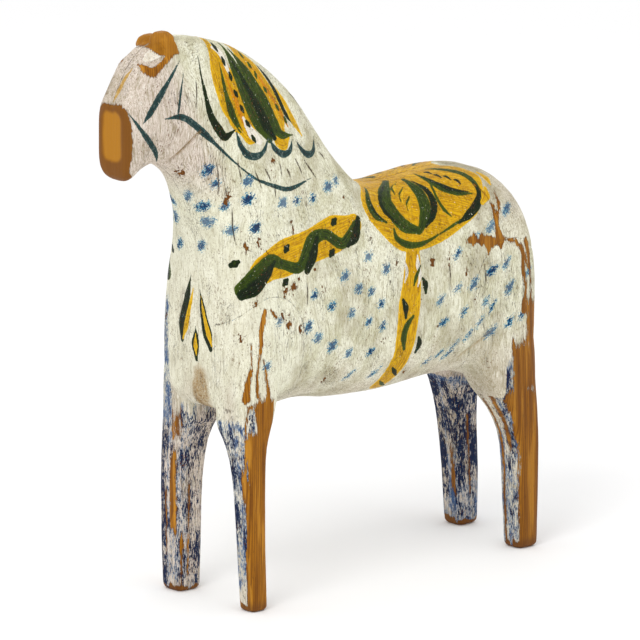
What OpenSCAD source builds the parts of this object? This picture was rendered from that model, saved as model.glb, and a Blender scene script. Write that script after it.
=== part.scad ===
// Dala horse: a carved and painted pine horse, built up from glued boards.
// Two centre boards make the head, neck and barrel. Four leg boards are let into
// arched pockets in the sides of the barrel, and blind dowels pin every glue face.
// The horse looks along -Y, its left side is +X, and its soles stand on z = 0.

/* [Overall size] */
// Height from the soles to the top of the ears, to which every size here is scaled
horse_h = 346; // [250:1:500]
// Width across the barrel, on a horse 346 high
barrel_w = 80; // [76:1:84]

/* [Glued boards] */
// Distance from the middle glue line to the floor of a leg pocket
pocket_floor_x = 14; // [12:0.5:18]
// Height of the top of the shoulder pocket
shoulder_pocket_top_z = 186; // [180:1:192]
// Height of the top of the haunch pocket
haunch_pocket_top_z = 190; // [184:1:196]

/* [Dowels] */
// Diameter of every dowel
dowel_d = 8; // [6:0.5:10]
// How far a leg dowel enters the leg board
leg_dowel_grip = 11; // [8:0.5:12]
// Length of each short dowel across the middle glue line
centre_dowel_l = 20; // [14:1:22]
// Air left at the blind end of each bore
bore_end_gap = 1; // [0.5:0.25:2]

/* [Head] */
// Width of the worn flat on the front of the muzzle
muzzle_flat_w = 20; // [16:0.5:22]
// Width of the muzzle behind its rounded rim
muzzle_w = 27.5; // [25:0.5:30]
// How deep the eye hollow is gouged
eye_hollow_depth = 3; // [2:0.5:4]

/* [Hidden] */

$fn = 48;

// The sizes above and the tables below are for a horse of this height
drawn_h = 346;
unit = horse_h / drawn_h;
half_w = barrel_w / 2;
// Middle of the horse's length in the tables, where y = 0 is midway between the feet
middle_y = -32.8;

paint_colour = [0.90, 0.87, 0.78];
leg_colour = [0.80, 0.78, 0.74];
dowel_colour = [0.80, 0.62, 0.38];

// Steps along the body between two ribs, and points round half a rib
rib_steps = 4;
half_sides = 26;
// Steps up a leg between two sections, and points round a section
leg_steps = 2;
leg_sides = 28;

// Ribs of the head, neck and barrel, from the muzzle to the rump:
// top y, top z, bottom y, bottom z, half width, narrowing to the top,
// squareness of the upper half, squareness of the lower half
ribs = [
    [-186.2, 304, -186.2, 269, muzzle_flat_w / 2, 0.00, 4.0, 4.0],
    [-185.0, 308, -185.0, 264, muzzle_w / 2 - 0.8, 0.00, 3.8, 3.8],
    [-183.0, 313, -180.5, 261.5, muzzle_w / 2, 0.02, 3.4, 3.4],
    [-178.0, 322, -171.5, 266.5, muzzle_w / 2 + 0.6, 0.04, 3.2, 3.2],
    [-171.0, 331, -162.5, 269, 15.6, 0.04, 3.2, 3.2],
    [-161.0, 337.5, -153.0, 266, 16.6, 0.02, 3.2, 3.0],
    [-148.0, 340, -142.5, 258, 17.5, 0.00, 3.0, 2.8],
    [-134.0, 339.5, -134.0, 245, 18.6, 0.06, 2.8, 2.7],
    [-119.0, 336, -127.5, 228, 20.5, 0.16, 2.7, 2.7],
    [-103.0, 330.5, -122.5, 209, 23.5, 0.26, 2.7, 2.7],
    [-86.0, 321.5, -121.0, 188, 27.0, 0.34, 2.7, 2.9],
    [-69.0, 309, -121.3, 165, 31.5, 0.38, 2.7, 3.2],
    [-52.0, 292, -121.3, 140, half_w * 0.86, 0.34, 2.7, 3.6],
    [-38.0, 272, -118.0, 119, half_w * 0.93, 0.28, 2.7, 3.6],
    [-24.0, 252.5, -97.0, 113.5, half_w * 0.98, 0.20, 2.7, 2.8],
    [-7.0, 235.5, -65.0, 114.5, half_w, 0.14, 2.7, 2.5],
    [12.0, 230.5, -32.0, 110, half_w, 0.08, 2.7, 2.7],
    [34.0, 231.3, 4.0, 108.5, half_w, 0.06, 2.7, 2.8],
    [56.0, 232.5, 38.0, 110, half_w, 0.06, 2.7, 2.7],
    [77.0, 231, 66.0, 109, half_w, 0.06, 2.7, 3.2],
    [94.0, 226, 87.0, 101, half_w, 0.06, 2.7, 4.0],
    [106.5, 215, 104.0, 97, half_w * 0.97, 0.04, 2.8, 4.2],
    [113, 200, 111.5, 104, half_w * 0.86, 0.02, 2.8, 3.8],
    [115.2, 185, 114.6, 122, half_w * 0.56, 0.00, 2.6, 2.8]];

// Sections of each leg from the sole up: z, middle x, middle y, half width, half length
left_fore_sections = [
    [0, 31.5, -106.6, 5.2, 5.2], [1.5, 31.5, -106.6, 6.2, 6.2], [4, 31.5, -106.7, 6.7, 6.6],
    [35, 31.5, -108.2, 7.2, 7.0], [67, 31.6, -109.6, 8.0, 7.6], [90, 31.0, -110.6, 9.4, 8.8],
    [102, 28.5, -110.0, 12.4, 10.4], [112, 25.5, -108.4, 15.6, 12.8], [130, 25.0, -106.0, 16.0, 15.0],
    [150, 26, -104, 13.0, 14.0], [168, 28, -102, 8.0, 10.0]];
right_fore_sections = [
    [0, 32, -106.5, 7.4, 7.4], [1.8, 32, -106.5, 8.8, 8.8], [6, 32, -106.5, 9.2, 9.2],
    [35, 31.6, -106.8, 9.8, 9.8], [67, 31.2, -106.6, 10.2, 10.3], [90, 30.4, -104.6, 11.0, 11.8],
    [102, 28.2, -102.6, 13.2, 13.6], [112, 25.6, -101.2, 15.8, 15.2], [130, 25.0, -101.0, 16.0, 15.6],
    [150, 26, -101, 13.0, 14.0], [168, 28, -101, 8.0, 10.0]];
left_hind_sections = [
    [0, 33, 103.2, 6.8, 6.8], [1.8, 33, 103.2, 8.0, 8.0], [5, 33, 103.2, 8.5, 8.4],
    [35, 32.4, 103.2, 9.2, 9.0], [62, 32, 102.6, 10.0, 9.8], [78, 30.5, 100.6, 11.6, 11.4],
    [90, 28.0, 97.6, 13.8, 14.6], [102, 25.6, 93.6, 15.8, 18.8], [118, 25.0, 90.0, 16.0, 22.6],
    [145, 26, 88.5, 13.0, 21.0], [168, 28, 88, 8.0, 12.0]];
right_hind_sections = [
    [0, 28.5, 112.0, 6.8, 6.8], [1.8, 28.5, 112.0, 8.0, 8.0], [5, 28.5, 112.0, 8.5, 8.4],
    [35, 29, 111.4, 9.3, 9.2], [62, 29.5, 109.6, 10.0, 10.0], [78, 29.0, 107.6, 11.4, 11.0],
    [90, 27.5, 105.2, 13.4, 12.6], [102, 25.6, 101.6, 15.8, 15.4], [118, 25.0, 96.0, 16.0, 19.4],
    [145, 26, 91.0, 13.0, 20.0], [168, 28, 88, 8.0, 12.0]];

// Sections of each ear from inside the head up; the right ear is worn shorter
left_ear_sections = [
    [328, 8.6, -152.5, 6.8, 6.4], [335, 8.8, -154.0, 6.8, 7.0], [340, 8.4, -154.8, 6.4, 7.0],
    [344, 7.8, -155.0, 5.0, 5.6], [346, 7.2, -154.8, 2.8, 3.4]];
right_ear_sections = [
    [328, 8.0, -150.5, 6.4, 6.0], [334, 8.0, -151.5, 6.2, 6.4], [337, 7.6, -151.8, 5.6, 6.0],
    [340, 7.2, -151.8, 4.4, 4.8], [341.6, 6.8, -151.4, 2.4, 3.0]];
leg_squareness = 4;

// Middle of the eye hollow on the skin of the head, and the way it faces
eye_place = [10.5, -164.5, 332.4];
eye_way = [0.65, -0.50, 0.57];
eye_gouge_r = 8.5;

// Middle and half width of each pocket along the body
shoulder_pocket_y = -99;
shoulder_pocket_r = 23.5;
haunch_pocket_y = 89;
haunch_pocket_r = 29;
pocket_foot_z = 80;
// First and last of the ribs that each pocket cuts
shoulder_ribs = [9, 16];
haunch_ribs = [17, 23];

// Middles of the dowels, as y and z
upper_shoulder = [-97, 170];
lower_shoulder = [-103, 140];
upper_haunch = [88, 172];
lower_haunch = [92, 138];
neck_pin = [-128, 300];
withers_pin = [-62, 222];
loin_pin = [34, 178];

// Length of a dowel that runs through both centre boards into both leg boards
leg_dowel_l = 2 * (pocket_floor_x + leg_dowel_grip);

// Signed power, which squares off an ellipse
function squared(v, n) = sign(v) * pow(abs(v), 2 / n);

// Point t of the way from b to c on the smooth curve through a, b, c and d
function through(a, b, c, d, t) =
    b + 0.5 * t * (c - a + t * (2 * a - 5 * b + 4 * c - d + t * (3 * (b - c) + d - a)));

// Rows filled in between the rows of a table
function filled(rows, steps) = let (last = len(rows) - 1)
    [for (i = [0 : last * steps])
        let (k = min(floor(i / steps), last - 1), t = i / steps - k)
        through(rows[max(k - 1, 0)], rows[k], rows[k + 1], rows[min(k + 2, last)], t)];

// Half of a rib's outline on the side of +X, from its top to its bottom
function rib_points(r) =
    [for (j = [0 : half_sides])
        let (a = 180 * j / half_sides,
             squareness = j < half_sides / 2 ? r[6] : r[7],
             along = squared(cos(a), squareness),
             out = j == half_sides ? 0 : squared(sin(a), squareness))
        [r[4] * (1 - r[5] * along) * out,
         (r[0] + r[2]) / 2 + along * (r[0] - r[2]) / 2,
         (r[1] + r[3]) / 2 + along * (r[1] - r[3]) / 2]];

// Outline of a level section
function level_points(s) =
    [for (j = [0 : leg_sides - 1])
        let (a = 360 * (j + 0.5) / leg_sides)
        [s[1] + s[3] * squared(cos(a), leg_squareness),
         s[2] + s[4] * squared(sin(a), leg_squareness),
         s[0]]];

// Solid through closed rings that all have the same number of points
module skin(rings) {
    n = len(rings[0]);
    last = len(rings) - 1;
    sides = [for (i = [0 : last - 1], j = [0 : n - 1])
        let (k = (j + 1) % n)
        each [[i * n + j, (i + 1) * n + k, i * n + k],
              [i * n + j, (i + 1) * n + j, (i + 1) * n + k]]];
    ends = [[for (j = [0 : n - 1]) j], [for (j = [n - 1 : -1 : 0]) last * n + j]];
    polyhedron(points = [for (r = rings) each r], faces = concat(sides, ends));
}

// Column of level sections, for a leg or an ear
module column(sections) {
    skin([for (s = filled(sections, leg_steps)) level_points(s)]);
}

// Left half of the head, neck and barrel, flat on the middle glue line, between two ribs
module half_body(first = 0, last = len(ribs) - 1) {
    rows = filled(ribs, rib_steps);
    skin([for (i = [first * rib_steps : last * rib_steps]) rib_points(rows[i])]);
}

// Scoop of the gouge that hollows the eye
module eye_hollow() {
    translate(eye_place + eye_gouge_r * eye_way - eye_hollow_depth * eye_way) sphere(eye_gouge_r);
}

// Arched block that fills a leg pocket on the side of +X
module pocket(y, r, top_z) {
    arch_z = top_z - r;
    translate([pocket_floor_x, 0, 0]) rotate([90, 0, 90])
        linear_extrude(barrel_w) {
            translate([y, arch_z]) circle(r);
            translate([y - r, pocket_foot_z]) square([2 * r, arch_z - pocket_foot_z]);
        }
}

module shoulder_pocket() { pocket(shoulder_pocket_y, shoulder_pocket_r, shoulder_pocket_top_z); }
module haunch_pocket() { pocket(haunch_pocket_y, haunch_pocket_r, haunch_pocket_top_z); }

// The part of a leg that lies outside the glue face of its board
module outside_pocket_floor() {
    intersection() {
        children();
        translate([pocket_floor_x, -drawn_h / 2, 0]) cube([barrel_w, drawn_h, drawn_h]);
    }
}

// Cylinder across the horse at one pin's place
module across(pin, d, l) {
    translate([0, pin[0], pin[1]]) rotate([0, 90, 0]) cylinder(d = d, h = l, center = true);
}
// Bores for dowels that enter both leg boards, and for those across the middle glue line only
module leg_bores(pins) {
    for (p = pins) across(p, dowel_d, leg_dowel_l + 2 * bore_end_gap);
}
module centre_bores() {
    for (p = [neck_pin, withers_pin, loin_pin]) across(p, dowel_d, centre_dowel_l + 2 * bore_end_gap);
}

// Left half of the horse without its legs, with the pockets and bores cut
module centre_board(ear_sections) {
    difference() {
        union() {
            half_body();
            column(ear_sections);
        }
        eye_hollow();
        shoulder_pocket();
        haunch_pocket();
        leg_bores([upper_shoulder, lower_shoulder, upper_haunch, lower_haunch]);
        centre_bores();
    }
}

// Board that holds its share of the barrel, given as the child, and the leg below it
module leg_board(sections, pins) {
    difference() {
        union() {
            children();
            outside_pocket_floor() column(sections);
        }
        leg_bores(pins);
    }
}
module fore_leg(sections) {
    leg_board(sections, [upper_shoulder, lower_shoulder]) intersection() {
        half_body(shoulder_ribs[0], shoulder_ribs[1]);
        shoulder_pocket();
    }
}
module hind_leg(sections) {
    leg_board(sections, [upper_haunch, lower_haunch]) intersection() {
        half_body(haunch_ribs[0], haunch_ribs[1]);
        haunch_pocket();
    }
}

// The tables' sizes brought to the horse's height, with the origin under the middle of its length
module placed() {
    scale(unit) translate([0, -middle_y, 0]) children();
}
module on_right_side() {
    mirror([1, 0, 0]) children();
}

module left_centre_board() { color(paint_colour) placed() centre_board(left_ear_sections); }
module right_centre_board() { color(paint_colour) placed() on_right_side() centre_board(right_ear_sections); }
module left_fore_leg() { color(leg_colour) placed() fore_leg(left_fore_sections); }
module right_fore_leg() { color(leg_colour) placed() on_right_side() fore_leg(right_fore_sections); }
module left_hind_leg() { color(leg_colour) placed() hind_leg(left_hind_sections); }
module right_hind_leg() { color(leg_colour) placed() on_right_side() hind_leg(right_hind_sections); }
module leg_dowel(pin) { color(dowel_colour) placed() across(pin, dowel_d, leg_dowel_l); }
module centre_dowel(pin) { color(dowel_colour) placed() across(pin, dowel_d, centre_dowel_l); }
module upper_shoulder_dowel() { leg_dowel(upper_shoulder); }
module lower_shoulder_dowel() { leg_dowel(lower_shoulder); }
module upper_haunch_dowel() { leg_dowel(upper_haunch); }
module lower_haunch_dowel() { leg_dowel(lower_haunch); }
module neck_dowel() { centre_dowel(neck_pin); }
module withers_dowel() { centre_dowel(withers_pin); }
module loin_dowel() { centre_dowel(loin_pin); }

left_centre_board();
right_centre_board();
left_fore_leg();
right_fore_leg();
left_hind_leg();
right_hind_leg();
upper_shoulder_dowel();
lower_shoulder_dowel();
upper_haunch_dowel();
lower_haunch_dowel();
neck_dowel();
withers_dowel();
loin_dowel();
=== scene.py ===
"""Looks of an old dala horse: carved pine boards, worn ground paint and brushed decoration.

Every size is in millimetres in the row frame until a mesh is written in metres: the horse
looks along -Y, its left side is +X, and it stands on z = 0. The carving is made once over
the six wooden CAD nodes, then sawn back into those six pieces along their glue lines.
"""
import math

import bpy
import numpy as np
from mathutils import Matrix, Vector
from mathutils.bvhtree import BVHTree


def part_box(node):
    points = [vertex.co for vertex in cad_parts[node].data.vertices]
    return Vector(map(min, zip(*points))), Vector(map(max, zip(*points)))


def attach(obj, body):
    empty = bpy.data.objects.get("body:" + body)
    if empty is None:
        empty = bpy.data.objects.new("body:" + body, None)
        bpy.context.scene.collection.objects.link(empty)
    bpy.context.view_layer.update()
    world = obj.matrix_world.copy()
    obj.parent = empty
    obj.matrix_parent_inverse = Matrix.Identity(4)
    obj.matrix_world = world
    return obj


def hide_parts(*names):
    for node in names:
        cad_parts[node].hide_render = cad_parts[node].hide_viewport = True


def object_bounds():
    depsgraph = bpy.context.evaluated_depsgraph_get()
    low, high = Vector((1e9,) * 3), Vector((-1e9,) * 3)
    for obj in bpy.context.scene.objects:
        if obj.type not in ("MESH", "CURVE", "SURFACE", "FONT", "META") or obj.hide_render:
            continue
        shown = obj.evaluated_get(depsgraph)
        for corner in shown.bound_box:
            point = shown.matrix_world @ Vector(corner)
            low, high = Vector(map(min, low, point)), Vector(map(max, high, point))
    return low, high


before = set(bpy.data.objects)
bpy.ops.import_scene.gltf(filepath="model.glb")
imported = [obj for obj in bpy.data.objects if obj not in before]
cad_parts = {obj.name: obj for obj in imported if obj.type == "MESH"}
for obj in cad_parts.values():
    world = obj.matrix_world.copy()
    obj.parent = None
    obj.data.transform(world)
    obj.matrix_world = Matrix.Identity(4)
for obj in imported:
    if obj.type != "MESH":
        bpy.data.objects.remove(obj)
cad_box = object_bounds()

MM = 0.001
WOODEN = ("left_centre_board", "right_centre_board",
          "left_fore_leg", "right_fore_leg", "left_hind_leg", "right_hind_leg")
DOWELS = ("upper_shoulder_dowel", "lower_shoulder_dowel", "upper_haunch_dowel",
          "lower_haunch_dowel", "neck_dowel", "withers_dowel", "loin_dowel")


def box_mm(node):
    low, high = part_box(node)
    return np.array(low) / MM, np.array(high) / MM


# --------------------------------------------------------------------------- small maths

def ramp(value, low, high):
    """0 below low, 1 above high and smooth between them; low may be above high."""
    t = np.clip((value - low) / (high - low), 0, 1)
    return t * t * (3 - 2 * t)


def noise(points, cell, seed):
    """Smooth noise from -1 to 1, with one lump per cell; cell is a size or one size per axis."""
    p = points / np.asarray(cell, float)
    corner = np.floor(p).astype(np.int64)
    t = p - corner
    t = t * t * (3 - 2 * t)
    total = np.zeros(len(p))
    for step in np.ndindex(2, 2, 2):
        c = corner + step
        h = c[:, 0] * 73856093 ^ c[:, 1] * 19349663 ^ c[:, 2] * 83492791 ^ (seed * 2654435761)
        h = (h ^ (h >> 13)) * 1274126177 & 0x7FFFFFFF
        weight = np.prod(np.where(step, t, 1 - t), axis=1)
        total += weight * ((h ^ (h >> 16)) & 0xFFFF) / 32767.5
    return total - 1


def through(points, spacing):
    """Smooth curve through points, as places about spacing apart and their share of the way."""
    p = np.asarray(points, float)
    padded = np.vstack([2 * p[0] - p[1], p, 2 * p[-1] - p[-2]])
    out, share = [p[0]], [0.0]
    for k in range(len(p) - 1):
        a, b, c, d = padded[k:k + 4]
        steps = max(int(np.linalg.norm(c[:3] - b[:3]) / spacing), 2)
        for i in range(1, steps + 1):
            t = i / steps
            out.append(b + 0.5 * t * (c - a + t * (2 * a - 5 * b + 4 * c - d
                                                   + t * (3 * (b - c) + d - a))))
            share.append((k + t) / (len(p) - 1))
    return np.array(out), np.array(share)


# --------------------------------------------------------------------------- mesh helpers

def get(collection, name, width, kind=np.float32):
    values = np.empty(len(collection) * width, kind)
    collection.foreach_get(name, values)
    return values.reshape(-1, width) if width > 1 else values


def mesh_object(name, points, faces):
    mesh = bpy.data.meshes.new(name)
    mesh.from_pydata([tuple(p) for p in points], [], [tuple(f) for f in faces])
    mesh.update()
    made = bpy.data.objects.new(name, mesh)
    bpy.context.scene.collection.objects.link(made)
    return made


def applied(obj):
    """obj with its modifiers made real."""
    bpy.context.view_layer.update()
    mesh = bpy.data.meshes.new_from_object(obj.evaluated_get(bpy.context.evaluated_depsgraph_get()))
    obj.modifiers.clear()
    obj.data = mesh
    return obj


VOXEL = 0.85
SWELL = 0.3


def rough_skin():
    """One closed skin over the six wooden nodes, made of small squares."""
    points, faces = [], []
    for node in WOODEN:
        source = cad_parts[node].data
        co = get(source.vertices, "co", 3).astype(float)
        places, same = np.unique(np.round(co, 6), axis=0, return_inverse=True)
        corners = same.ravel()[get(source.loops, "vertex_index", 1, np.int32)].reshape(-1, 3)
        keep = [len(set(c)) == 3 for c in corners.tolist()]
        corners = corners[keep]
        sides = np.cross(places[corners[:, 1]] - places[corners[:, 0]],
                         places[corners[:, 2]] - places[corners[:, 0]])
        normal = np.zeros_like(places)
        for k in range(3):
            np.add.at(normal, corners[:, k], sides)
        normal /= np.linalg.norm(normal, axis=1)[:, None] + 1e-12
        faces.append(corners + sum(len(p) for p in points))
        points.append(places + normal * SWELL * MM)
    skin = mesh_object("skin", np.vstack(points), np.vstack(faces))
    remesh = skin.modifiers.new("voxels", "REMESH")
    remesh.mode = "VOXEL"
    remesh.voxel_size = VOXEL * MM
    applied(skin)
    return skin


def biggest_part(points, quads):
    """The points and faces of the largest connected part."""
    label = np.arange(len(points))
    while True:
        low = label[quads].min(axis=1)
        before = label.copy()
        for k in range(4):
            np.minimum.at(label, quads[:, k], low)
        label = label[label]
        if (label == before).all():
            break
    names, counts = np.unique(label, return_counts=True)
    keep = label == names[counts.argmax()]
    index = np.cumsum(keep) - 1
    return points[keep], index[quads[keep[quads[:, 0]]]]


def smoothed(points, edges, rounds):
    """Points eased towards their neighbours without shrinking."""
    count = np.bincount(edges.ravel(), minlength=len(points))[:, None]
    for k in range(rounds * 2):
        pull = 0.5 if k % 2 == 0 else -0.52
        total = np.stack([np.bincount(edges[:, 0], points[edges[:, 1], a], len(points))
                          + np.bincount(edges[:, 1], points[edges[:, 0], a], len(points))
                          for a in range(3)], axis=1)
        points = points + pull * (total / count - points)
    return points


# --------------------------------------------------------------------------- the carving

LEFT_FORE, RIGHT_FORE = box_mm("left_fore_leg"), box_mm("right_fore_leg")
LEFT_HIND, RIGHT_HIND = box_mm("left_hind_leg"), box_mm("right_hind_leg")
LEFT_BOARD = box_mm("left_centre_board")
NOSE_Y = LEFT_BOARD[0][1]
POCKET_FLOOR = LEFT_FORE[0][0]
SHOULDER_R = (LEFT_FORE[1][1] - LEFT_FORE[0][1]) / 2
SHOULDER_Y = (LEFT_FORE[1][1] + LEFT_FORE[0][1]) / 2
SHOULDER_TOP = LEFT_FORE[1][2]
HAUNCH_R = 29
HAUNCH_Y = LEFT_HIND[0][1] + HAUNCH_R
HAUNCH_TOP = LEFT_HIND[1][2]


class Surface:
    """The carved skin: its points, and the ways to find places on it."""

    def __init__(self, points, quads):
        self.points, self.quads = points, quads
        pairs = np.vstack([quads[:, [k, (k + 1) % 4]] for k in range(4)])
        self.edges = np.unique(np.sort(pairs, axis=1), axis=0)
        self.settle()

    def settle(self):
        """Works out the normals and the search tree again after the points have moved."""
        p, q = self.points, self.quads
        sides = np.cross(p[q[:, 2]] - p[q[:, 0]], p[q[:, 3]] - p[q[:, 1]])
        total = np.stack([sum(np.bincount(q[:, k], sides[:, a], len(p)) for k in range(4))
                          for a in range(3)], axis=1)
        self.normals = total / (np.linalg.norm(total, axis=1)[:, None] + 1e-12)
        self.tree = BVHTree.FromPolygons([tuple(v) for v in p], [tuple(f) for f in q.tolist()])

    def hit(self, start, way):
        found = self.tree.ray_cast(Vector(start), Vector(way))[0]
        return np.array(found) if found is not None else None

    def nearest(self, place):
        return np.array(self.tree.find_nearest(Vector(place))[0])


FAR_OFF = 400
FAR_FROM_PAINT = 3.0
NEAR_SIDE = 15


def on_side(surface, y, z):
    found = surface.hit((FAR_OFF, y, z), (-1, 0, 0))
    return surface.nearest((NEAR_SIDE, y, z)) if found is None else found


def on_front(surface, x, z):
    return surface.hit((x, -FAR_OFF, z), (0, 1, 0))


def on_back(surface, y, lean):
    """Where a line out of the barrel's middle, leaning so many degrees from upright, meets the skin."""
    turn = math.radians(lean)
    out = np.array((math.sin(turn), 0, math.cos(turn)))
    return surface.hit((0, y, BACK_Z) + out * FAR_OFF, -out)


BACK_Z = 190
CHARTS = {"side": on_side, "front": on_front, "back": on_back}
SAMPLE = 1.2


def traced(surface, chart, places):
    """A smooth curve on the skin through places of one chart: samples and their share of the way."""
    samples, share = through([CHARTS[chart](surface, *place) for place in places], SAMPLE)
    return np.array([surface.nearest(s) for s in samples]), share


CHUNK = 10


def near_curve(points, samples, share, margin):
    """For the points within margin of a curve: index, distance, share of the way, and signed side."""
    distance = np.full(len(points), np.inf)
    way = np.zeros(len(points))
    across = np.zeros(len(points))
    for first in range(0, len(samples) - 1, CHUNK):
        a, b = samples[first:first + CHUNK + 1][:-1], samples[first:first + CHUNK + 1][1:]
        s0, s1 = share[first:first + CHUNK + 1][:-1], share[first:first + CHUNK + 1][1:]
        low = np.minimum(a, b).min(0) - margin
        high = np.maximum(a, b).max(0) + margin
        near = np.flatnonzero(((points > low) & (points < high)).all(1))
        if not len(near):
            continue
        d = b - a
        rel = points[near][:, None, :] - a[None]
        t = np.clip((rel * d).sum(2) / ((d * d).sum(1) + 1e-9), 0, 1)
        off = rel - t[..., None] * d
        length = np.linalg.norm(off, axis=2)
        k = length.argmin(1)
        rows = np.arange(len(near))
        found = length[rows, k]
        better = found < distance[near]
        n = near[better]
        k, rows = k[better], rows[better]
        distance[n] = found[better]
        way[n] = s0[k] + t[rows, k] * (s1 - s0)[k]
        across[n] = np.sign((np.cross(d[k], off[rows, k]) * points_out(points[n])).sum(1)) * found[better]
    index = np.flatnonzero(distance < margin)
    return index, distance[index], way[index], across[index]


def half_width(way, widths):
    """The stroke's half width at each share of the way, easing from one given width to the next."""
    place = np.clip(way, 0, 1) * (len(widths) - 1)
    k = np.minimum(place.astype(int), len(widths) - 2)
    t = ramp(place - k, 0, 1)
    widths = np.asarray(widths, float)
    return widths[k] * (1 - t) + widths[k + 1] * t


def points_out(points):
    """A rough outward direction, good enough to tell left of a curve from right."""
    return np.stack([np.sign(points[:, 0]), np.zeros(len(points)), np.full(len(points), 0.3)], axis=1)


def on_far_side(surface, samples, wobble=(0, 0, 0)):
    """The same samples on the horse's right side, a little out of place."""
    moved = samples * (-1, 1, 1) + wobble
    return np.array([surface.nearest(m) for m in moved])


# Lines of the knife on both sides: half widths, height (below 0 is a groove), side places
KNIFE_LINES = [
    ((0.9, 1.2, 1.2, 0.9), -1.6, [(-101, 287), (-109, 281), (-116, 275), (-124, 268)]),  # back of the jaw
    ((1.2, 2.2, 1.8, 1.2), 0.9, [(-138, 326), (-134, 325), (-128, 328), (-121, 333)]),  # cheekbone
    ((3.0, 4.0, 3.0), -1.2, [(-132, 331), (-128, 332.5), (-124, 335)]),  # eye hollow
    ((1.5, 2.8, 2.4), -1.6, [(85, 123), (96, 130), (107, 138)]),  # between belly and thigh
    ((1.0, 1.6, 1.0), -0.7, [(-113, 336), (-112, 341), (-116, 344)]),  # behind the ear
]
# Cracks along the grain on both sides, each from its upper to its lower end, as side places
CRACKS = [
    [(-49, 262), (-48, 257), (-48, 252)], [(-44, 257), (-42, 254), (-41, 250)],
    [(-61, 261), (-59, 256), (-57, 251)], [(-68, 260), (-66, 254), (-64, 247)],
    [(-28, 259), (-24, 253), (-19, 246)], [(-13, 261), (-10, 258), (-8, 255)],
    [(-55, 249), (-55, 245), (-55, 240)], [(-27, 296), (-21, 291), (-15, 287)],
    [(-36, 262), (-33, 256), (-31, 250)], [(-79, 268), (-78, 261), (-77, 253)],
    [(-92, 268), (-91, 258), (-91, 246)], [(-84, 240), (-84, 228), (-83, 217)],
    [(-38, 192), (-38, 184), (-39, 176)], [(-104, 318), (-104, 309), (-105, 300)],
    [(72, 186), (73, 178), (73, 170)], [(100, 182), (101, 172), (101, 163)],
]
CRACK_HALF = 0.45
CRACK_DEPTH = 0.5
# Small knocks in both sides: place and size
CHIPS = [
    (-79, 216, 2.2), (-71, 218, 1.6), (-48, 189, 2.0), (-43, 193, 1.4), (-31, 195, 1.4), (-55, 187, 1.6),
    (-77, 183, 1.3), (-59, 173, 1.8), (-54, 169, 2.4), (-45, 164, 1.6), (-85, 164, 1.6), (-26, 185, 1.4),
    (-86, 246, 2.0), (-45, 223, 1.6), (0, 232, 1.4), (-54, 262, 1.5), (60, 186, 1.8), (71, 184, 1.8),
    (32, 190, 1.6), (14, 207, 1.2), (-113, 264, 1.5), (-109, 261, 1.8), (-66, 212, 1.0), (85, 176, 1.2),
    (20, 147, 1.1), (64, 148, 1.2), (92, 158, 1.0), (-20, 128, 1.1), (44, 121, 1.2),
]
CHEEK_RISE, CHEEK_FADE = 0.9, 9.0
SEAM_DEPTH, SEAM_HALF = 0.35, 1.2
# The middle glue line is a little shallower than the arches
MIDDLE_SEAM = 0.7


def carved_lines(surface):
    """Height of the knife lines, and of the cheek that stands up in front of the jaw's groove."""
    height = np.zeros(len(surface.points))
    for row, (widths, peak, places) in enumerate(KNIFE_LINES):
        samples, share = traced(surface, "side", places)
        for found in (samples, on_far_side(surface, samples)):
            index, distance, way, across = near_curve(surface.points, found, share, CHEEK_FADE)
            half = half_width(way, widths)
            height[index] += peak * np.exp(-(distance / half) ** 2) * ramp(way, 0, 0.15) * ramp(way, 1, 0.85)
            if row == 0:
                front = across * np.sign(surface.points[index, 0]) < 0
                rise = CHEEK_RISE * ramp(distance, CHEEK_FADE, 0.5) * np.sin(np.pi * way)
                height[index[front]] += rise[front]
    return height


def seam_distance(p):
    """How far each point is from the nearest glue line that reaches the skin."""
    x, y, z = p.T
    middle = np.abs(x)
    arches = []
    for centre, radius, top in ((SHOULDER_Y, SHOULDER_R, SHOULDER_TOP), (HAUNCH_Y, HAUNCH_R, HAUNCH_TOP)):
        from_arch = np.abs(np.hypot(y - centre, np.maximum(z - (top - radius), 0)) - radius)
        arches.append(np.where(np.abs(x) > POCKET_FLOOR, from_arch, FAR_FROM_PAINT))
    return middle, np.minimum(*arches)


def crack_distance(surface):
    distance_to = np.full(len(surface.points), FAR_FROM_PAINT)
    for places in CRACKS:
        samples, share = traced(surface, "side", places)
        for found in (samples, on_far_side(surface, samples)):
            index, distance, way, _ = near_curve(surface.points, found, share, FAR_FROM_PAINT)
            taper = CRACK_HALF * (1 - np.abs(2 * way - 1) ** 3)
            distance_to[index] = np.minimum(distance_to[index], distance - taper)
    return distance_to


def chip_distance(surface):
    """Signed distance into the nearest knock, above 0 inside it."""
    into = np.full(len(surface.points), -FAR_FROM_PAINT)
    p = surface.points
    jag = 3.4 * noise(p, (0.9, 0.9, 1.5), 27) - 0.9
    for y, z, size in CHIPS:
        centre = on_side(surface, y, z)
        for place in (centre, surface.nearest(centre * (-1, 1, 1))):
            off = (p - place) * (0.6, 1.3, 0.75)
            near = np.flatnonzero((np.abs(off) < size + FAR_FROM_PAINT).all(1))
            into[near] = np.maximum(into[near], 1.35 * size - np.linalg.norm(off[near], axis=1) + jag[near])
    return into


# The worn panel on the front of the muzzle: a rounded rectangle about its middle
PANEL_Z, PANEL_HALF, PANEL_CORNER, PANEL_SUNK = 288, (3.2, 9.5), 4.8, 0.4


def panel_depth(x, z):
    """How far inside the rounded outline of the muzzle's worn panel each point lies."""
    off = np.stack([np.abs(x) - PANEL_HALF[0], np.abs(z - PANEL_Z) - PANEL_HALF[1]])
    return PANEL_CORNER - np.hypot(*np.maximum(off, 0))


def muzzle_panel(p):
    """The flat front of the muzzle, sunk a little inside its rounded rim."""
    x, y, z = p.T
    return -PANEL_SUNK * ramp(panel_depth(x, z), -1.4, 1.8) * ramp(y, NOSE_Y + 3, NOSE_Y + 1)


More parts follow.
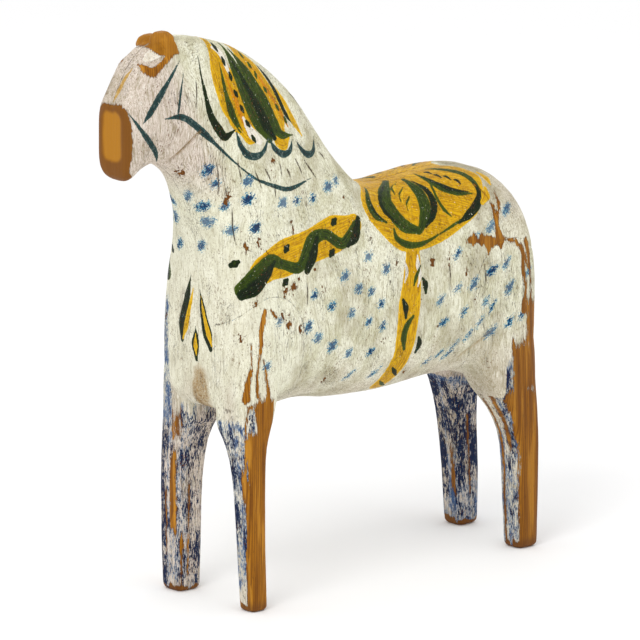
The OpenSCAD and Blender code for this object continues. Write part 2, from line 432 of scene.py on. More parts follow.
# The resin knot low on the chest, as a front place, with its half width and half height
NECK_Z = 250
KNOT, KNOT_SIZE = (1, 128), (7, 13)


def stain(surface):
    """Painted shade in the grooves behind the jaw and before the thigh, and the resin knot's own brown, from 0
    to 1.
    """
    p = surface.points
    amount = np.zeros(len(p))
    # Painted shade along the grooves: full behind the jaw, weaker before the thigh
    for depth, (_, _, places) in ((1.0, KNIFE_LINES[0]), (0.45, KNIFE_LINES[3])):
        samples, share = traced(surface, "side", places)
        for found in (samples, on_far_side(surface, samples)):
            index, distance, way, _ = near_curve(p, found, share, FAR_FROM_PAINT)
            darkening = np.exp(-(distance / 0.8) ** 2) * ramp(way, 0, 0.1) * ramp(way, 1, 0.9)
            amount[index] = np.maximum(amount[index], depth * darkening)
    out = np.hypot((p[:, 0] - KNOT[0]) / KNOT_SIZE[0], (p[:, 2] - KNOT[1]) / KNOT_SIZE[1])
    out += 0.25 * noise(p, (3, 3, 5), 63)
    return np.maximum(amount, 0.8 * ramp(out, 1.3, 0.7) * (p[:, 1] < SHOULDER_Y))


# The middle of the scoop in each ear, and how much narrower than a ball it is on each axis
EAR_SCOOPS = (((9, -130.5, 338), (0.8, 1.0, 0.55)), ((-7.5, -127.5, 336.5), (0.8, 1.0, 0.6)))
SCOOP_DEPTH, SCOOP_R = 1.1, 4.0


def ear_faces(p):
    """The scoop of the knife in the front of each ear."""
    away = [np.linalg.norm((p - middle) * narrow, axis=1) for middle, narrow in EAR_SCOOPS]
    return -SCOOP_DEPTH * ramp(np.minimum(*away), SCOOP_R, 0.5)


HEEL_LOST, HEEL_SLOPE, HEEL_TOP = 5.5, 0.24, 24


def broken_heel(p):
    """How far forward each point of the left hind foot has to move to leave its broken corner off."""
    x, y, z = p.T
    break_y = LEFT_HIND[1][1] - HEEL_LOST + HEEL_SLOPE * z + 0.7 * noise(p, (2.5, 2.5, 2.5), 61)
    return np.where((x > 10) & (z < HEEL_TOP), np.maximum(y - break_y, 0), 0)


SMOOTH_ROUNDS = 12
# Depth, size and seed of the facets that the knife left
KNIFE_FACETS = ((0.28, (15, 15, 36), 51), (0.12, (6, 6, 17), 52))
GRAIN_RELIEF = 0.06
CHIP_DEPTH = 0.45


def carve():
    """The whole horse as one carved skin, in millimetres."""
    rough = rough_skin()
    corners = get(rough.data.loops, "vertex_index", 1, np.int32).reshape(-1, 4)
    points, quads = biggest_part(get(rough.data.vertices, "co", 3).astype(float) / MM, corners)
    bpy.data.objects.remove(rough)
    surface = Surface(points, quads)
    surface.points = smoothed(surface.points, surface.edges, SMOOTH_ROUNDS)
    surface.settle()
    surface.points -= surface.normals * SWELL
    surface.settle()
    p = surface.points
    knife = -sum(depth * np.abs(noise(p, cell, seed)) for depth, cell, seed in KNIFE_FACETS)
    grain = GRAIN_RELIEF * noise(p, (1.9, 1.9, 26), 53)
    middle, arches = seam_distance(p)
    open_arch = ramp(noise(p, (9, 9, 9), 55), -0.2, 0.35)
    off_muzzle = ramp(p[:, 1], NOSE_Y + 4, NOSE_Y + 8)
    seams = np.maximum(MIDDLE_SEAM * ramp(middle, SEAM_HALF, 0.1) * off_muzzle,
                       ramp(arches, SEAM_HALF, 0.1) * open_arch)
    height = knife + grain - SEAM_DEPTH * seams + carved_lines(surface) + muzzle_panel(p) + ear_faces(p)
    height -= CRACK_DEPTH * ramp(crack_distance(surface), 0.7, -0.4)
    height -= CHIP_DEPTH * ramp(chip_distance(surface), -0.6, 0.8)
    surface.points = p + surface.normals * height[:, None]
    surface.points[:, 1] -= broken_heel(surface.points)
    surface.settle()
    return surface


PAINT_FILM = 0.12
STROKE_FILM = 0.14


def thicken(surface, coat):
    """Stands the paint up from the bare wood, and the strokes up from the ground paint."""
    strokes = np.minimum.reduce(list(coat.layer.values()))
    film = PAINT_FILM * ramp(coat.bare, 0.5, -0.5) - PAINT_FILM
    film += STROKE_FILM * ramp(strokes, 0.4, -0.5) * ramp(coat.bare, 0.5, -0.5)
    surface.points += surface.normals * film[:, None]


def kept_in_box(points):
    low, high = np.array(cad_box[0]) / MM, np.array(cad_box[1]) / MM
    return np.clip(points, low, high)


# --------------------------------------------------------------------------- the paint plan
# A stroke is (layer, chart, half widths along it, places along it). Side places are (y, z),
# front places (x, z), and back places (y, degrees of lean out of the barrel's middle). Strokes
# of the side and back charts are repeated on the far side.

MANE = [
    ("yellow", "side", (1.8, 4.8, 5.0, 1.6), [(-88, 336), (-87, 317), (-83, 301), (-78, 284)]),
    ("yellow", "side", (1.0, 3.0, 3.4, 1.0), [(-51, 277), (-47, 272), (-43, 270), (-38, 273)]),
    ("yellow", "side", (1.5, 5.0, 7.5, 9.0, 5.0),
     [(-86, 337), (-82, 320), (-78, 306), (-74, 292), (-68, 279)]),
    ("yellow", "side", (2.0, 8.5, 9.5, 8.5, 4.0),
     [(-70, 330), (-59, 313), (-52, 298), (-47, 286), (-44, 275)]),
    ("orange", "side", (0.3, 0.7, 0.9, 0.4), [(-82, 322), (-79, 309), (-76, 298), (-71, 284)]),
    ("orange", "side", (0.4, 1.1, 1.3, 0.5), [(-78, 308), (-75, 299), (-73, 291), (-70, 283)]),
    ("orange", "side", (0.3, 1.2, 1.3, 0.5), [(-58, 318), (-49, 303), (-42, 290), (-37, 279)]),
    ("cream", "side", (1.0, 2.0, 1.6, 0.3), [(-84, 336), (-81, 328), (-79, 321), (-77, 313)]),
    ("cream", "side", (0.8, 2.2, 3.2, 2.2), [(-72, 290), (-69, 284), (-66, 279), (-62, 275)]),
    ("green", "side", (0.2, 1.3, 2.4, 1.3), [(-84, 325), (-83, 308), (-80, 294), (-75, 283)]),
    ("dark", "side", (0.3, 0.6, 1.3, 2.1, 2.7, 2.4, 0.6),
     [(-100, 329), (-100, 319), (-98, 307), (-95, 295), (-90, 286), (-86, 281), (-79, 284)]),
    ("green", "side", (0.6, 4.0, 5.2, 5.0, 2.4),
     [(-77, 332), (-71, 315), (-66, 300), (-61, 287), (-54, 275)]),
    ("green", "side", (0.6, 3.6, 4.4, 4.2, 2.6, 0.4),
     [(-72, 328), (-62, 312), (-54, 296), (-49, 283), (-44, 276), (-34, 274)]),
    ("dark", "side", (0.5, 1.9, 2.9, 3.5, 1.6), [(-73, 322), (-65, 306), (-59, 293), (-55, 283), (-50, 275)]),
    ("dark", "side", (0.2, 1.2, 1.8, 1.6, 0.3), [(-53, 318), (-45, 307), (-40, 296), (-37, 287), (-30, 277)]),
    ("yellow_over", "side", (0.3, 1.9, 2.2, 0.6), [(-41, 303), (-35, 291), (-31, 281), (-26, 272)]),
    ("yellow_over", "side", (0.3, 0.5, 0.3), [(-76, 285), (-72, 280), (-66, 275)]),
    ("teal", "side", (0.4, 1.6, 2.2, 2.2, 1.4, 0.4),
     [(-78, 283), (-76, 275), (-72, 269), (-66, 267), (-60, 269), (-55, 276)]),
    ("teal", "side", (0.4, 1.7, 2.2, 1.7, 0.3), [(-54, 275), (-51, 269), (-45, 265), (-39, 266), (-35, 272)]),
    ("teal", "side", (0.3, 1.5, 2.1, 1.7, 0.3), [(-32, 270), (-29, 265), (-24, 261), (-18, 262), (-14, 269)]),
]
MANE_DABS = [(-83, 331), (-80, 323), (-77, 314), (-75, 304), (-72, 295), (-69, 286), (-66, 277)]
MANE_GREEN_DABS = [(-62, 323), (-58, 317), (-55, 311), (-50, 302), (-43, 291), (-38, 283)]

BRIDLE = [
    ("teal", "side", (0.3, 1.0, 2.2, 2.0, 0.4),
     [(-114, 330), (-122, 321), (-131, 310), (-137, 302), (-142, 296)]),
    ("teal", "side", (0.3, 0.8, 0.9, 0.4), [(-113, 323), (-116, 310), (-117, 303), (-118, 297)]),
    ("teal", "side", (0.3, 1.0, 1.8, 1.6, 0.3),
     [(-151, 303), (-145, 295), (-139, 287), (-133, 279), (-128, 271)]),
    ("teal", "side", (0.4, 1.9, 2.1, 0.9, 0.5, 0.8, 1.3, 1.4, 0.3),
     [(-127, 297), (-114, 296), (-101, 286), (-90, 275), (-78, 263), (-67, 254), (-54, 248), (-43, 245),
      (-24, 248)]),
    ("cream", "side", (1.4, 3.0, 3.2, 1.6), [(-134, 331), (-131, 332), (-127, 334), (-124, 336)]),
    ("ochre", "front", (0.3, 1.3, 1.5, 0.4), [(5, 327), (3, 321), (2, 315), (0, 308)]),
]

BREAST_STRAP = [
    ("yellow", "side", (4.0, 8.5, 11.0, 10.0, 11.0, 6.0),
     [(-80, 195), (-69, 203), (-52, 207), (-34, 210), (-14, 214), (4, 217)]),
    ("green", "side", (4.2, 5.4, 4.0, 3.0, 3.4, 4.6, 3.2, 3.4, 3.2),
     [(-83, 192), (-75, 200), (-65, 207), (-54, 203), (-42, 200), (-31, 213), (-20, 215), (-8, 208),
      (5, 216)]),
    ("dark", "side", (3.0, 4.4, 3.2, 1.0), [(-83, 189), (-77, 193), (-68, 200), (-61, 206)]),
    ("dark", "side", (2.4, 3.2, 1.6), [(-37, 197), (-32, 204), (-27, 214)]),
    ("dark", "side", (1.4, 3.2, 2.2), [(-4, 206), (3, 210), (8, 219)]),
]
STRAP_DOTS = [(-84, 207), (-51, 212), (-12, 221), (-17, 204), (-54, 193)]

CHEST_TULIP = [
    ("dark", "front", (0.3, 2.6, 4.0, 1.6), [(-6, 195), (-10, 180), (-13, 166), (-14, 155)]),
    ("dark", "front", (0.3, 2.6, 4.0, 1.6), [(1, 188), (4, 175), (8, 163), (11, 154)]),
    ("dark", "front", (0.4, 3.2, 1.3), [(-2, 165), (-2, 155), (-1, 146)]),
    ("yellow_over", "front", (0.3, 1.2, 2.0, 0.6), [(-4, 189), (-7, 177), (-10, 165), (-13, 156)]),
    ("yellow_over", "front", (0.3, 1.2, 2.0, 0.6), [(2, 184), (5, 173), (9, 163), (12, 156)]),
    ("yellow_over", "front", (0.3, 1.6, 0.4), [(-2, 161), (-2, 154), (-1, 148)]),
]

# The saddle's leaves, as places (y, degrees of lean) over the back
SADDLE = [
    ("green", "back", (1.0, 2.2, 2.4, 0.8), [(28, 20), (22, 34), (23, 45), (30, 53)]),
    ("dark", "back", (0.4, 1.0, 0.4), [(24, 30), (24, 42), (29, 51)]),
    ("green", "back", (2.0, 4.4, 4.8, 4.4, 2.4), [(52, 9), (38, 30), (37, 44), (42, 58), (52, 66)]),
    ("green", "back", (1.4, 3.8, 4.2, 3.8, 2.0), [(62, 15), (63, 33), (62, 46), (59, 56), (53, 66)]),
    ("dark", "back", (0.4, 1.3, 1.6, 0.6), [(46, 16), (33, 32), (32, 44), (38, 56)]),
    ("dark", "back", (0.6, 2.0, 2.6, 2.2, 0.8), [(65, 20), (69, 34), (69, 46), (65, 56), (58, 64)]),
    ("green", "back", (0.5, 1.8, 2.8, 2.2, 0.5), [(73, 11), (75, 24), (80, 34), (88, 41), (100, 45)]),
    ("dark", "back", (0.3, 1.0, 1.6, 0.9, 0.3), [(74, 17), (78, 27), (83, 35), (90, 40), (98, 43)]),
    ("green", "back", (0.4, 1.0, 1.2, 0.4), [(76, 18), (73, 41), (75, 53), (79, 60)]),
    ("green", "back", (0.8, 1.8, 2.2, 2.2, 1.8), [(84, 8), (93, 16), (101, 24), (105, 33), (106, 43)]),
    ("dark", "back", (0.6, 1.8, 3.0, 2.8, 0.8), [(105, 35), (105, 46), (100, 55), (93, 61), (83, 67)]),
    ("green", "back", (0.8, 1.8, 2.2, 1.6, 1.0, 0.6),
     [(34, 60), (35, 69), (42, 76), (51, 78), (59, 76), (66, 73)]),
    ("green", "back", (0.4, 0.9, 0.4), [(64, 74), (78, 68), (90, 62)]),
    ("green", "back", (0.3, 1.0, 0.4), [(57, 15), (49, 22), (46, 30)]),
    ("green", "back", (0.3, 1.0, 0.4), [(56, 24), (50, 31), (47, 38)]),
    ("green", "back", (0.3, 0.9, 0.3), [(56, 34), (51, 40), (49, 47)]),
    ("yellow_over", "back", (0.3, 1.0, 0.4), [(54, 16), (50, 23), (48, 29)]),
    ("yellow_over", "back", (0.3, 1.0, 0.4), [(55, 26), (50, 33), (48, 40)]),
    ("yellow_over", "back", (0.3, 1.0, 0.4), [(55, 37), (51, 43), (50, 50)]),
    ("yellow_over", "back", (1.2, 2.6, 1.2), [(115, 25), (118, 32), (118, 38)]),
    ("yellow_over", "back", (1.4, 3.4, 1.6), [(112, 42), (110, 48), (105, 54)]),
]
SADDLE_COMMAS = [(81, 14), (84, 21), (89, 25), (94, 31)]
SADDLE_EDGE = [(30, -12), (26, 14), (16, 33), (17, 46), (23, 60), (33, 77), (41, 82), (54, 83), (70, 79),
               (87, 70), (99, 62), (105, 51), (110, 42), (113, 29), (106, 16), (97, 5), (94, -12)]

GIRTH = [
    ("cream", "side", (0.6, 1.8, 1.2, 0.6), [(48, 192), (48, 186), (49, 180), (47, 174)]),
    ("cream", "side", (0.4, 1.2, 0.5), [(38, 190), (39, 184), (37, 178)]),
    ("yellow", "side", (5.0, 7.0, 8.5, 8.0, 7.0, 6.0),
     [(45, 196), (43, 180), (40, 163), (38, 147), (36, 133), (28, 116)]),
    ("dark", "side", (1.0, 2.3, 1.0), [(35, 168), (37, 163), (37, 157)]),
    ("green", "side", (1.0, 2.2, 2.4, 1.2), [(43, 157), (38, 152), (36, 146), (37, 138)]),
    ("dark", "side", (1.0, 2.2, 1.0), [(48, 143), (49, 139), (47, 134)]),
    ("dark", "side", (1.0, 2.2, 1.0), [(51, 178), (53, 174), (53, 169)]),
    ("green", "side", (0.5, 1.4, 0.6), [(50, 186), (46, 180), (44, 175)]),
    ("dark", "side", (0.8, 1.6, 0.8), [(31, 127), (34, 124), (37, 121)]),
    ("green", "side", (0.6, 1.4, 0.6), [(26, 119), (30, 116), (34, 114)]),
]

# Rows of light blue dabs: first and last place of the row, and how many
DAB_ROWS = [
    ((-98, 262), (-93, 253), 2), ((-95, 241), (-88, 240), 2), ((-74, 253), (-74, 244), 2),
    ((-95, 231), (-86, 227), 2), ((-73, 228), (-73, 228), 1), ((-50, 237), (-26, 237), 3),
    ((-12, 240), (-2, 243), 2), ((11, 197), (24, 187), 2), ((-32, 182), (-9, 189), 2),
    ((1, 181), (19, 170), 3), ((-20, 173), (-5, 166), 2), ((8, 160), (19, 156), 2),
    ((-62, 171), (-40, 165), 2), ((-32, 158), (-8, 144), 3), ((-70, 148), (-70, 148), 1),
    ((10, 140), (10, 140), 1), ((124, 207), (81, 189), 4), ((119, 176), (65, 164), 5),
    ((120, 161), (66, 150), 4), ((137, 169), (129, 143), 2), ((106, 138), (121, 140), 2),
]
# Long thin blue strokes low on the flank
BELLY_STROKES = [
    [(66, 127), (68, 129), (71, 131)], [(76, 130), (78, 132), (81, 135)], [(86, 134), (88, 137), (91, 140)],
    [(94, 141), (96, 144), (99, 147)], [(103, 149), (105, 152), (108, 155)],
    [(57, 124), (59, 125), (62, 127)],
    [(-6, 126), (-3, 128), (1, 131)], [(14, 124), (17, 126), (21, 129)], [(72, 125), (75, 127), (78, 129)],
]
CHEST_DABS = [(6, 246), (-15, 228), (-15, 212), (6, 215), (-20, 244)]


# --------------------------------------------------------------------------- paint on the skin

LAYERS = ("yellow", "orange", "cream", "green", "teal", "dark", "ochre", "yellow_over", "dabs")


class Coat:
    """What the material reads at each point of the skin, all signed distances in millimetres."""

    def __init__(self, surface):
        self.surface = surface
        count = len(surface.points)
        self.layer = {name: np.full(count, FAR_FROM_PAINT) for name in LAYERS}
        self.bare = np.full(count, -FAR_FROM_PAINT)
        self.hair = np.zeros((count, 2))
        self.wash = np.zeros(count)
        self.deep = np.zeros(count)
        self.polish = np.zeros(count)
        self.tone = np.zeros(count)
        self.pink = np.zeros(count)
        self.rim = np.zeros(count)

    def lay(self, name, samples, share, widths, tone=None):
        index, distance, way, across = near_curve(self.surface.points, samples, share,
                                                  max(widths) + FAR_FROM_PAINT)
        half = half_width(way, widths)
        inside = distance - half
        field = self.layer[name]
        if tone is not None:
            nearer = index[inside < field[index]]
            self.tone[nearer] = tone
        field[index] = np.minimum(field[index], inside)
        covered = inside < 0.6
        self.hair[index[covered]] = np.stack([across[covered], way[covered] * len(samples) * SAMPLE], axis=1)

    def wear(self, samples, share, widths, ragged=0.0):
        index, distance, way, _ = near_curve(self.surface.points, samples, share,
                                             max(widths) + FAR_FROM_PAINT + ragged)
        half = half_width(way, widths)
        jag = ragged * streaks(self.surface.points[index], 71)
        self.bare[index] = np.maximum(self.bare[index], half - distance + jag)


def streaks(points, seed):
    """Ragged marks that run up and down the grain, from about -1 to 1."""
    return (0.65 * noise(points, (2.6, 2.6, 26), seed) + 0.45 * noise(points, (1.7, 1.7, 10), seed + 1))


def both_sides(surface, chart, samples, random):
    """Samples of a stroke, and of its copy on the far side where it has one."""
    yield samples
    if chart != "front":
        wobble = random.uniform(-1.2, 1.2, 3) * (0, 1, 1)
        yield on_far_side(surface, samples, wobble)


def paint_strokes(coat, plan, random):
    for name, chart, widths, places in plan:
        samples, share = traced(coat.surface, chart, places)
        for found in both_sides(coat.surface, chart, samples, random):
            coat.lay(name, found, share, widths)


def paint_dabs(coat, name, places, length, width, way, random, tone=None):
    """Short fat touches of the brush, centred on side places."""
    for y, z in places:
        turn = way + random.uniform(-0.25, 0.25)
        dy, dz = 0.5 * length * math.cos(turn), 0.5 * length * math.sin(turn)
        samples, share = traced(coat.surface, "side", [(y - dy, z - dz), (y, z), (y + dy, z + dz)])
        for found in both_sides(coat.surface, "side", samples, random):
            coat.lay(name, found, share, (width * 0.6, width, width * 0.5), tone)


DOWN_THE_MANE = math.radians(-72)
DAB_SLOPE = math.radians(35)
DAB_LENGTH = 3.8
DAB_HALF = 3.1
# Behind the girth the dabs are long slanting strokes
FLANK_Y = 55
FLANK_STRETCH, FLANK_THIN = 1.7, 0.72


def paint_dab_rows(coat, random):
    for first, last, count in DAB_ROWS:
        share = np.linspace(0, 1, count)[:, None]
        row = np.array(first) * (1 - share) + np.array(last) * share
        row += random.uniform(-1.5, 1.5, row.shape)
        for place in row:
            size = random.uniform(0.8, 1.2)
            long, thin = (FLANK_STRETCH, FLANK_THIN) if place[0] > FLANK_Y else (1, 1)
            paint_dabs(coat, "dabs", [place], DAB_LENGTH * size * long, DAB_HALF * size * thin, DAB_SLOPE,
                       random, random.uniform(0.25, 1))
    for x, z in CHEST_DABS:
        samples, share = traced(coat.surface, "front", [(x - 1.8, z - 2), (x + 1.8, z + 2)])
        coat.lay("dabs", samples, share, (1.8, 2.5, 1.8), random.uniform(0.3, 1))
    for places in BELLY_STROKES:
        samples, share = traced(coat.surface, "side", places)
        for found in both_sides(coat.surface, "side", samples, random):
            coat.lay("dabs", found, share, (0.4, 1.3, 0.6), random.uniform(0.5, 1))


def outline_distance(points, corners):
    """Signed distance from 2-D points to a closed outline, negative inside."""
    corners = np.asarray(corners, float)
    best = np.full(len(points), np.inf)
    inside = np.zeros(len(points), bool)
    for a, b in zip(corners, np.roll(corners, -1, axis=0)):
        edge = b - a
        t = np.clip((points - a) @ edge / (edge @ edge), 0, 1)
        best = np.minimum(best, np.linalg.norm(points - a - t[:, None] * edge, axis=1))
        crosses = (a[1] > points[:, 1]) != (b[1] > points[:, 1])
        if abs(edge[1]) > 1e-9:
            inside ^= crosses & (points[:, 0] < a[0] + (points[:, 1] - a[1]) / edge[1] * edge[0])
    return np.where(inside, -best, best)


SADDLE_LOW_Z = 180
# About how far apart two places on the barrel are that differ by one degree of lean
LEAN_MM = 0.7


def paint_saddle_ground(coat):
    """The yellow field of the saddle, laid out over the back as y and lean."""
    p = coat.surface.points
    near = np.flatnonzero((p[:, 2] > SADDLE_LOW_Z) & (p[:, 1] > 0))
    down = np.degrees(np.arctan2(np.abs(p[near, 0]), p[near, 2] - BACK_Z)) * LEAN_MM
    corners, _ = through(np.array(SADDLE_EDGE + SADDLE_EDGE[:1], float) * (1, LEAN_MM), 3)
    d = outline_distance(np.stack([p[near, 1], down], axis=1), corners[:-1])
    coat.layer["yellow"][near] = np.minimum(coat.layer["yellow"][near], d)
    on = d < 0.5
    coat.hair[near[on]] = np.stack([down[on] - p[near[on], 1] * 0.4, p[near[on], 1]], axis=1)


# Worn places as strokes: chart, half widths, places, how ragged, and whether on the far side too
WORN = [
    ("side", (0.6, 2.6, 3.2, 2.2, 1.8, 1.6),
     [(-139, 329), (-137, 327), (-134, 325), (-130, 327), (-126, 330), (-121, 334)], 0.6, True),
    ("side", (1.8, 3.2, 3.6, 3.0), [(90, 194), (100, 192), (108, 190), (117, 190)], 5.0, False),
    ("side", (2.2, 1.2, 0.9, 0.4), [(113, 192), (113, 203), (111, 214), (105, 223)], 2.2, False),
    ("side", (1.2, 1.0, 0.3), [(114, 203), (118, 210), (119, 217)], 0.8, False),
    ("side", (1.0, 1.2, 1.8, 1.6), [(118, 190), (126, 188), (131, 182), (136, 170)], 2.2, False),
    ("side", (1.0, 1.6, 1.4, 2.0), [(131, 185), (132, 172), (133, 158), (132, 145)], 1.8, False),
    ("side", (1.4, 1.0, 1.2, 1.6), [(136, 186), (137, 172), (138, 158), (138, 146)], 1.6, False),
    ("side", (0.5, 1.5, 1.2, 0.7), [(-71, 179), (-74, 171), (-75, 163), (-76, 155)], 1.4, False),
    ("side", (0.6, 0.9, 0.4), [(-67, 179), (-65, 176), (-63, 174)], 1.4, False),
    ("side", (0.3, 0.6, 0.8, 1.0), [(-75, 160), (-77, 151), (-78, 140), (-79, 130)], 1.2, False),
    ("side", (0.3, 0.8, 1.4, 2.0), [(-81, 161), (-81, 149), (-84, 138), (-86, 128)], 1.4, False),
    ("side", (0.3, 0.6, 0.8, 1.2), [(-74, 151), (-71, 138), (-70, 128), (-70, 120)], 1.2, False),
    ("front", (0.4, 0.9, 0.5), [(0, 118), (1, 111), (0, 104)], 1.4, False),
]

# Strips of each leg by angle round it, 0 out to +X and -90 to the horse's front, and by height:
# kind, first and last angle, lowest and highest z, strength or raggedness
LEG_STRIPS = {
    "left_fore_leg": [
        ("bare", -45, 58, 56, 128, 3.0), ("bare", -62, 120, 24, 82, 3.0), ("bare", -74, 120, -9, 40, 3.0),
        ("keep", -40, -12, 110, 124, 1.0), ("bare", 172, 196, 5, 60, 3.0),
        ("blue", -150, -34, 12, 116, 1.0), ("deep", -150, -84, 40, 112, 0.85),
        ("deep", -76, -40, 60, 106, 0.7), ("blue", -40, -12, 104, 126, 1.0),
        ("deep", -40, -16, 108, 124, 1.0), ("deep", -80, -40, 0, 60, 0.7),
        ("blue", 120, 210, 0, 105, 0.8)],
    "right_fore_leg": [
        ("bare", -84, -62, 38, 84, 2.6), ("bare", -80, -58, 94, 110, 2.6), ("bare", -20, -14, 4, 66, 1.2),
        ("bare", -44, -38, -9, 34, 1.6), ("bare", 150, 200, 0, 118, 3.0), ("bare", -104, -98, 20, 60, 1.4),
        ("deep", -150, -92, -9, 104, 1.0), ("blue", -150, -84, -9, 180, 1.0),
        ("blue", -98, -18, 4, 60, 0.9), ("blue", -62, -18, 4, 112, 0.95),
        ("deep", -98, -22, 8, 92, 0.7), ("blue", -60, 60, -9, 60, 0.8),
        ("blue", -60, 150, 0, 118, 0.75), ("deep", -60, 90, 0, 112, 0.8)],
    "left_hind_leg": [
        ("bare", -46, 150, -9, 100, 3.0), ("bare", -24, 150, 94, 128, 3.0), ("bare", 26, 150, 96, 150, 3.0),
        ("bare", -82, -66, 62, 100, 2.0), ("bare", -118, -108, -9, 92, 1.4),
        ("blue", -160, -40, -9, 76, 0.9), ("blue", -70, -14, 66, 118, 1.0), ("deep", -62, -24, 86, 114, 0.9),
        ("deep", -98, -50, 44, 90, 0.8), ("deep", -90, -50, 8, 40, 0.7), ("blue", 150, 220, 0, 90, 0.8)],
    "right_hind_leg": [
        ("bare", -74, -62, 22, 48, 2.2), ("bare", 140, 200, 0, 110, 3.0), ("bare", -8, 0, 20, 70, 1.2),
        ("blue", -160, 160, -9, 98, 1.0), ("deep", -150, -88, 14, 94, 1.0), ("deep", -58, 60, 24, 92, 0.95),
        ("deep", -88, -40, 48, 92, 1.0), ("deep", -60, 30, 2, 30, 0.8)],
}
LEG_TURN_MM = 0.16
# A leg board's points end this far behind a fore leg's axis, or before a hind leg's, above the legs
LEG_REACH = 12
# The heights at which a leg's middle is measured: first, past the last, and step
LEG_LEVELS = (5, 96, 10)


MUZZLE_TOP = 307
# The bare top of each ear: side, lowest z, how much that rises between two y, and first and last y
WORN_EARS = ((1, 333, 5, -124, -132, -134, -113.5), (-1, 334, 3, -121, -129, -132, -111))


def paint_worn_places(coat):
    """The places where the paint has gone, how polished the wood is there, and where its bare wood is darker.
    """
    surface = coat.surface
    p = surface.points
    x, y, z = p.T
    jag = streaks(p, 5)
    for chart, widths, places, ragged, both in WORN:
        samples, share = traced(surface, chart, places)
        coat.wear(samples, share, widths, ragged)
        if both:
            coat.wear(on_far_side(surface, samples, (0, 0, 0)), share, widths, ragged)
    fine = 0.7 * noise(p, 3.5, 11)
    muzzle_edge = NOSE_Y + 4.0 - 0.006 * (z - 284) ** 2 * (z > 284)
    muzzle_edge += 5 * ramp(z, 270, 262) - 1.2 * ramp(z, 280, 272)
    muzzle = np.minimum(muzzle_edge - y, MUZZLE_TOP - z) + fine
    near_ear, far_ear = (
        np.minimum.reduce([z - low - rise * ramp(y, back, front), y - first, last - y, side * x - 0.4]) + fine
        for side, low, rise, back, front, first, last in WORN_EARS)
    ears = np.maximum(near_ear, far_ear)
    chips = chip_distance(surface)
    tips = 3.4 + 3 * jag + 2.4 * noise(p, (5, 5, 5), 12) - z
    coat.bare = np.maximum.reduce([coat.bare, muzzle, near_ear, far_ear, chips, tips])
    coat.polish = np.clip(ramp(muzzle, -1, 1) + 0.5 * ramp(ears, -1, 1), 0, 1)
    off_panel = -panel_depth(x, z) + 0.8 * noise(p, (2.5, 2.5, 9), 14)
    # Darker bare wood round the muzzle's worn panel, at the front of the ears, low on the feet, towards the
    # hind end and round the knocks
    coat.rim = ramp(off_panel, -1.2, 1.4) * ramp(muzzle, -1, 1) + 0.5 * ramp(ears, -1, 1) * ramp(y, -126, -131)
    coat.rim += 0.9 * ramp(z, 9, 2) + 0.35 * ramp(y, 60, 100) * (z < 200) + 1.2 * ramp(chips, -2, -0.5)


def round_leg(points, side, rear):
    """Index of one leg's points, and each one's angle in degrees round the leg's own axis."""
    x, y, z = points.T
    index = np.flatnonzero((x * side > 4) & ((y > 20) == rear) & (z < 200))
    levels = np.arange(*LEG_LEVELS)
    middles = []
    for level in levels:
        ring = index[np.abs(z[index] - level) < 2]
        middles.append([(a[ring].min() + a[ring].max()) / 2 for a in (x, y)])
    middles = np.array(middles)
    across = x[index] - np.interp(z[index], levels, middles[:, 0])
    along = y[index] - np.interp(z[index], levels, middles[:, 1])
    own = (along * (-1 if rear else 1) < LEG_REACH) | (z[index] < levels[-1])
    index, across, along = index[own], across[own], along[own]
    return index, np.degrees(np.arctan2(along, across))


def strip(angle, z, first, last, low, high, jag):
    """Signed distance in millimetres into one strip of a leg."""
    middle = (first + last) / 2
    turn = np.abs((angle - middle + 180) % 360 - 180)
    sideways = ((last - first) / 2 - turn) * LEG_TURN_MM
    return np.minimum.reduce([sideways, (z - low) * 0.25, (high - z) * 0.25]) + jag


def paint_legs(coat):
    """The blue wash and the bare strips of the legs, and the pinkish grey on head, chest, legs and rump,
    partly painted shade on the rump and on the far legs.
    """
    surface = coat.surface
    p = surface.points
    x, y, z = p.T
    jag = streaks(p, 41)
    blot = noise(p, (4, 4, 7), 43)
    for side, name_side in ((1, "left"), (-1, "right")):
        for rear, name_end in ((False, "fore"), (True, "hind")):
            index, angle = round_leg(p, side, rear)
            level = z[index]
            for kind, first, last, low, high, amount in LEG_STRIPS[name_side + "_" + name_end + "_leg"]:
                ragged = 0.6 * jag[index] * (amount if kind == "bare" else 1.5)
                d = strip(angle, level, first, last, low, high, ragged)
                if kind == "bare":
                    coat.bare[index] = np.maximum(coat.bare[index], d)
                elif kind == "keep":
                    coat.bare[index] = np.minimum(coat.bare[index], -d - 1.2 * blot[index])
                elif kind == "blue":
                    coat.wash[index] = np.maximum(coat.wash[index], amount * ramp(d, -1.5, 1.5))
                else:
                    coat.deep[index] = np.maximum(coat.deep[index], amount * ramp(d, -1.5, 1.5))
    lumps = noise(p, (9, 9, 22), 31)
    # The pinkish grey is fuller on the far (right) legs: partly their own tint, partly painted shade on the
    # side turned from the light
    legs = np.where(x < 0, 1, 0.6) * ramp(z + 16 * lumps, 150, 95)
    chest = 0.15 * ramp(y, -70, -86) * ramp(z, 250, 170)
    head = ramp(y + 0.45 * (z - 290), -92, -112) * ramp(z, 235, 270)
    # Pinkish grey over the top of the rump: its own tint, and painted shade where it turns from the light
    rump_tint_and_shade = 0.6 * ramp(y, 95, 135) * ramp(z, 170, 220)
    coat.pink = np.clip(np.maximum.reduce([legs, chest, head, rump_tint_and_shade]), 0, 1)


# Single touches of the brush in the mane and on the breast strap: layer, side places, length,
# half width and direction
DABS = (("dark", MANE_DABS, 4.2, 1.5, DOWN_THE_MANE), ("green", MANE_GREEN_DABS, 3.4, 1.3, DOWN_THE_MANE),
        ("dark", STRAP_DOTS, 3.6, 2.5, 0.6))
SEED = 12


